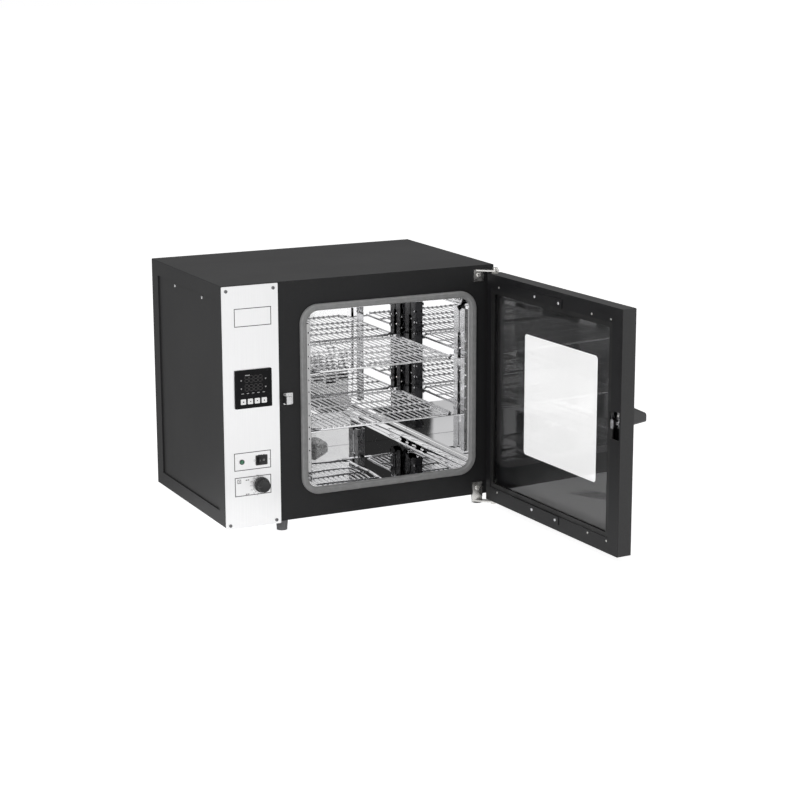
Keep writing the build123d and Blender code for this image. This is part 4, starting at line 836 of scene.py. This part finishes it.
def figure(name, text, size, place, material, thickness=0.05):
    """Flat printed figure on a face that looks along -Y, centred on place (x, y, z)."""
    curve = bpy.data.curves.new(name, "FONT")
    curve.body = text
    curve.size = size * MM
    curve.align_x = "CENTER"
    curve.align_y = "CENTER"
    curve.extrude = thickness * MM / 2
    made = set_down(name, curve)
    mesh = result_of(made)
    bpy.data.objects.remove(made)
    mesh.materials.clear()
    mesh.materials.append(M[material])
    mesh.transform(moved(*place) @ Matrix.Rotation(math.pi / 2, 4, "X"))
    return set_down(name, mesh)


def add_figures():
    """Plain numbers on the dial and the two switch marks."""
    parts = []
    for index, number in enumerate((300, 250, 200, 150, 100, 50, 0)):
        a = math.radians(DIAL_FIRST + index * DIAL_SWEEP / 6)
        x, z = KNOB[0] + 24.6 * math.cos(a), KNOB[1] + 22.6 * math.sin(a)
        parts.append(figure("number", str(number), 3.0, (x, PRINT_Y, z), "ink"))
    for mark, dx in (("I", 17.4), ("O", -15.6)):
        parts.append(figure("switch_mark", mark, 5.0, (SWITCH[0] + dx, PRINT_Y, SWITCH[1]), "ink"))
    join("printed_figures", parts, "cabinet")


def add_strip_print():
    """Label bars over the switch and in the dial field, and an open thermometer square."""
    parts = [bar(x, x + 4.2, 168.6, 170.6, PRINT_Y, "ink") for x in (-238.6, -233.4, -228.2)]
    for z in (119.0, 89.0):
        parts += [bar(x, x + 3.2, z, z + 1.8, PRINT_Y, "ink") for x in (-267.0, -262.8)]
    parts += frame_bars((-285.2, -277.4, 114.2, 122.6), 1.1, PRINT_Y)
    parts.append(bar(-282.0, -280.6, 116.6, 120.2, PRINT_Y, "ink"))
    join("strip_print", parts, "cabinet")


def surface_at(node, x, z):
    """Place and normal where a line along +Y through (x, z) first meets a CAD node."""
    mesh = nodes[node].data
    faces = [tuple(face.vertices) for face in mesh.polygons]
    tree = BVHTree.FromPolygons([corner.co for corner in mesh.vertices], faces)
    start = Vector((x * MM, -0.2, z * MM)) - ORIGIN
    place, normal, _, _ = tree.ray_cast(start, Vector((0.0, 1.0, 0.0)))
    return place + ORIGIN, normal


def add_rocker_marks():
    """A stroke and a ring moulded in white on the rocker."""
    parts = []
    for dx, mark in ((-4.3, "I"), (4.3, "O")):
        place, normal = surface_at("rocker", SWITCH[0] + dx, SWITCH[1])
        made = figure("mark", mark, 5.2, (0.0, -0.03, 0.0), "grey_ink")
        lean = math.atan2(-normal.x, -normal.y)
        made.data.transform(Matrix.Translation(place) @ Matrix.Rotation(-lean, 4, "Z"))
        parts.append(made)
    join("rocker_marks", parts, "rocker")


def wedge(x, z, y, half, up, material):
    """Small flat triangle on the front."""
    s = 1 if up else -1
    tri = [(x - half, z - s * half * 0.75), (x + half, z - s * half * 0.75), (x, z + s * half * 0.9)]
    points = [(a * MM, yy * MM, b * MM) for yy in (y - 0.05, y + 0.05) for a, b in tri]
    faces = [(0, 1, 2), (3, 5, 4), (0, 3, 4, 1), (1, 4, 5, 2), (2, 5, 3, 0)]
    made = piece_from("wedge", points, faces, material)
    settle(made)
    return made


def add_controller_print():
    """Marks round the display, label bars over the keys and symbols on the keys."""
    x0, z0 = CONTROLLER
    y = CONTROLLER_FACE + 0.26
    parts = []
    for z in (z0 + 19.0, z0 + 2.0):
        parts.append(lathe_spot(x0 - 27.0, z, y, 1.5, "grey_ink"))
        parts.append(wedge(x0 + 26.5, z, y, 1.9, False, "grey_ink"))
    parts.append(bar(x0 - 18.5, x0 - 8.0, z0 + 28.4, z0 + 30.0, y, "grey_ink", 0.05))
    for column in range(5):
        x = x0 - 24.5 + column * 11.6
        for row, length in ((0, 5.4), (1, 7.0)):
            z = z0 - 9.2 - row * 4.0
            parts.append(bar(x - length / 2, x + length / 2, z, z + 1.3, y, "grey_ink", 0.05))
    join("controller_marks", parts, "cabinet")


def lathe_spot(x, z, y, radius, material):
    """Small flat disc on the front."""
    spot = lathe("spot", [(radius, y + 0.05), (radius, y - 0.05)], material, 20)
    spot.data.transform(moved(x, 0.0, z))
    return spot


KEY_BODIES = ("key_set", "key_shift", "key_down", "key_up")


def add_key_symbols():
    """One printed symbol on each key."""
    y = CONTROLLER_FACE - 1.12
    for index, body in enumerate(KEY_BODIES):
        x = KEY_FIRST + index * KEY_STEP
        if index == 0:
            parts = [lathe_spot(x, KEY_Z, y, 1.6, "ink")]
        elif index == 1:
            arrow = wedge(0.0, 0.0, y, 1.9, True, "ink")
            arrow.data.transform(moved(x, 0.0, KEY_Z) @ Matrix.Rotation(-math.pi / 2, 4, "Y"))
            parts = [arrow]
        else:
            parts = [wedge(x, KEY_Z, y, 2.0, index == 3, "ink")]
        join(body + "_symbol", parts, body)


def segment_digit():
    """Seven slim six-sided segments of one digit, in millimetres about its centre."""
    wide, high, thick = 7.6, 13.4, 1.15
    h, w = high / 2, wide / 2
    bars = [(0, h, True), (0, 0, True), (0, -h, True)]
    bars += [(-w, h / 2, False), (w, h / 2, False), (-w, -h / 2, False), (w, -h / 2, False)]
    vertices, faces = [], []
    for x, z, level in bars:
        long = (w if level else h / 2) - 0.75
        ring = [(-long, 0), (-long + thick / 2, thick / 2), (long - thick / 2, thick / 2), (long, 0),
                (long - thick / 2, -thick / 2), (-long + thick / 2, -thick / 2)]
        if not level:
            ring = [(b, a) for a, b in ring]
        start = len(vertices)
        for y in (-0.04, 0.04):
            vertices += [((x + a) * MM, y * MM, (z + b) * MM) for a, b in ring]
        faces.append(tuple(start + i for i in range(6)))
        faces.append(tuple(start + 11 - i for i in range(6)))
        for i in range(6):
            following = start + (i + 1) % 6
            faces.append((start + i, start + 6 + i, following + 6, following))
    digit = piece_from("digit", vertices, faces, "dim_segment")
    settle(digit)
    return digit


def add_display():
    """Two rows of unlit digits behind the smoked window's face."""
    digit = segment_digit()
    x0, z0 = CONTROLLER
    y = CONTROLLER_FACE + 0.27
    columns = (-15.0, -5.0, 5.0, 15.0)
    points = [facing_front(x0 + dx, z0 + dz, y, 0.0) for dz in (21.0, 3.0) for dx in columns]
    plant("unlit_digits", digit, points, "dim_segment", "cabinet")
    bpy.data.objects.remove(digit)


add_fasteners()
add_strip_dimples()
for shelf in SHELF_HEIGHTS:
    add_shelf(shelf)
add_frame_lines()
add_knob()
add_dial_print()
add_figures()
add_strip_print()
add_rocker_marks()
add_controller_print()
add_key_symbols()
add_display()


# ---------------------------------------------------------------- stage
CAMERA_AZIMUTH = math.radians(26.363)
CAMERA_HEIGHT = math.radians(12.944)
CAMERA_ROLL = math.radians(-0.130)
CAMERA_FAR = 4.318
CAMERA_AIM = Vector((0.0887, 0.0, 0.252))
CAMERA_LENS = 91.67


def add_camera():
    """Camera to the left of the front, a little above the top."""
    back = Vector((
        -math.sin(CAMERA_AZIMUTH) * math.cos(CAMERA_HEIGHT),
        -math.cos(CAMERA_AZIMUTH) * math.cos(CAMERA_HEIGHT),
        math.sin(CAMERA_HEIGHT),
    ))
    across = Vector((0.0, 0.0, 1.0)).cross(back).normalized()
    up = back.cross(across)
    turned = math.cos(CAMERA_ROLL) * across + math.sin(CAMERA_ROLL) * up
    upright = -math.sin(CAMERA_ROLL) * across + math.cos(CAMERA_ROLL) * up
    data = bpy.data.cameras.new("camera")
    data.lens = CAMERA_LENS
    data.sensor_width = 36.0
    data.clip_end = 50.0
    camera = set_down("camera", data)
    placed = Matrix((turned, upright, back)).transposed().to_4x4()
    placed.translation = CAMERA_AIM - ORIGIN + back * CAMERA_FAR
    camera.matrix_world = placed
    bpy.context.scene.camera = camera


def add_lamp(name, place, aim, size, power):
    """Rectangular soft light."""
    data = bpy.data.lights.new(name, "AREA")
    data.shape = "RECTANGLE"
    data.size, data.size_y = size
    data.energy = power
    lamp = set_down(name, data)
    lamp.location = Vector(place) - ORIGIN
    lamp.rotation_mode = "QUATERNION"
    lamp.rotation_quaternion = (Vector(aim) - Vector(place)).to_track_quat("-Z", "Y")


def between(tree, value, low, high, soft):
    """1 where the value lies between low and high, with soft ends."""
    return tree.times(tree.ramp(value, low - soft, low), tree.ramp(value, high + soft, high))


def seen_plainly(tree):
    """1 for rays of the camera, of reflections and of glass, 0 for the light that falls on things."""
    path = tree.node("ShaderNodeLightPath").outputs
    total = tree.calc("MAXIMUM", path["Is Camera Ray"], path["Is Glossy Ray"])
    return tree.calc("MAXIMUM", total, path["Is Transmission Ray"])


def in_reflections(tree):
    """1 for rays that left a shiny surface."""
    path = tree.node("ShaderNodeLightPath").outputs
    return tree.times(path["Is Glossy Ray"], tree.calc("SUBTRACT", 1.0, path["Is Transmission Ray"]))


def without(tree, dark, share):
    """What is left of 1 when a share of the darkness is taken off, in reflections only."""
    return tree.calc("SUBTRACT", 1.0, tree.times(tree.times(dark, in_reflections(tree)), share))


BEHIND_DARK = 0.66       # how dark the room behind the oven is where it is reflected
FLOOR_GLOW = 0.8
FLOOR_SIZE = 60.0
FLOOR_DROP = 0.0005
WHITE = (1.0, 1.0, 1.0, 1.0)


def dark_end(tree):
    """How dark the room is along the ray: a door-high gap and a haze in front, a dim wall behind."""
    ray = tree.node("ShaderNodeTexCoord").outputs["Generated"]
    x, y, z = tree.node("ShaderNodeSeparateXYZ", {0: ray}).outputs
    turn = tree.calc("ARCTAN2", tree.times(x, -1.0), tree.times(y, -1.0))
    edge, left = math.radians(27.0), math.radians(70.0)
    gap_wide = between(tree, turn, math.radians(-4.0), edge, math.radians(0.5))
    gap = tree.times(gap_wide, between(tree, z, -0.6, 0.34, 0.03))
    haze_wide = between(tree, turn, edge, left, math.radians(8.0))
    haze = tree.times(haze_wide, between(tree, z, -0.5, 0.2, 0.1))
    front = tree.calc("MAXIMUM", gap, tree.times(haze, 0.45))
    behind = tree.times(between(tree, y, 0.12, 2.0, 0.12), BEHIND_DARK)
    return tree.calc("MAXIMUM", front, behind)


def light_world(ambient=0.34):
    """White surroundings to look at, a softer light from them, and a dark end in reflections."""
    world = bpy.data.worlds.new("white_studio")
    bpy.context.scene.world = world
    world.use_nodes = True
    tree = Tree(world.node_tree)
    shown = tree.tree.nodes["Background"]
    shown.inputs["Color"].default_value = WHITE
    tree.link(without(tree, dark_end(tree), 0.97), shown.inputs["Strength"])
    cast = tree.out("ShaderNodeBackground", {"Color": WHITE, "Strength": ambient})
    mix = tree.out("ShaderNodeMixShader", {0: seen_plainly(tree), 1: cast, 2: shown.outputs[0]})
    tree.link(mix, tree.tree.nodes["World Output"].inputs["Surface"])


def floor_dark(tree):
    """How dark the floor is where it is reflected: a stripe in front and the far end behind."""
    place = tree.node("ShaderNodeTexCoord").outputs["Object"]
    x, y, _ = tree.node("ShaderNodeSeparateXYZ", {0: place}).outputs
    along, down = math.cos(CAMERA_AZIMUTH), -math.sin(CAMERA_AZIMUTH)
    side = tree.calc("ADD", tree.times(x, along), tree.times(y, down))
    stripe = tree.times(between(tree, side, 0.052, 0.098, 0.006), between(tree, y, -30.0, -0.06, 0.04))
    behind = tree.times(between(tree, y, 0.5, 40.0, 0.3), BEHIND_DARK)
    return tree.calc("MAXIMUM", stripe, behind)


def add_floor():
    """Pale floor that shows white, keeps the oven's shadow and darkens in reflections."""
    place = Vector((0.0, 0.0, -FLOOR_DROP)) - ORIGIN
    bpy.ops.mesh.primitive_plane_add(size=FLOOR_SIZE, location=place)
    floor = bpy.context.object
    floor.name = "floor"
    finish = Finish("pale_floor", (1.0, 1.0, 1.0), 0.9, Specular_IOR_Level=0.1, Emission_Color=WHITE)
    keep = without(finish, floor_dark(finish), 0.95)
    glow = finish.times(finish.times(seen_plainly(finish), FLOOR_GLOW), keep)
    finish.link(glow, finish.shader.inputs["Emission Strength"])
    grey = finish.times(keep, 0.82)
    shade_of_floor = finish.out("ShaderNodeCombineColor", {0: grey, 1: grey, 2: grey})
    finish.link(shade_of_floor, finish.shader.inputs["Base Color"])
    floor.data.materials.append(finish.material)


add_camera()
light_world()
add_lamp("key_softbox", (-3.0, -1.6, 2.2), (0.0, 0.1, 0.25), (2.0, 2.0), 36.0)
add_lamp("top_softbox", (0.0, 0.4, 3.0), (0.1, 0.0, 0.2), (2.4, 2.4), 9.0)
add_lamp("right_fill", (2.6, -2.4, 1.4), (0.2, 0.0, 0.25), (1.6, 1.6), 8.0)
add_floor()
bpy.context.scene.view_settings.view_transform = "Standard"
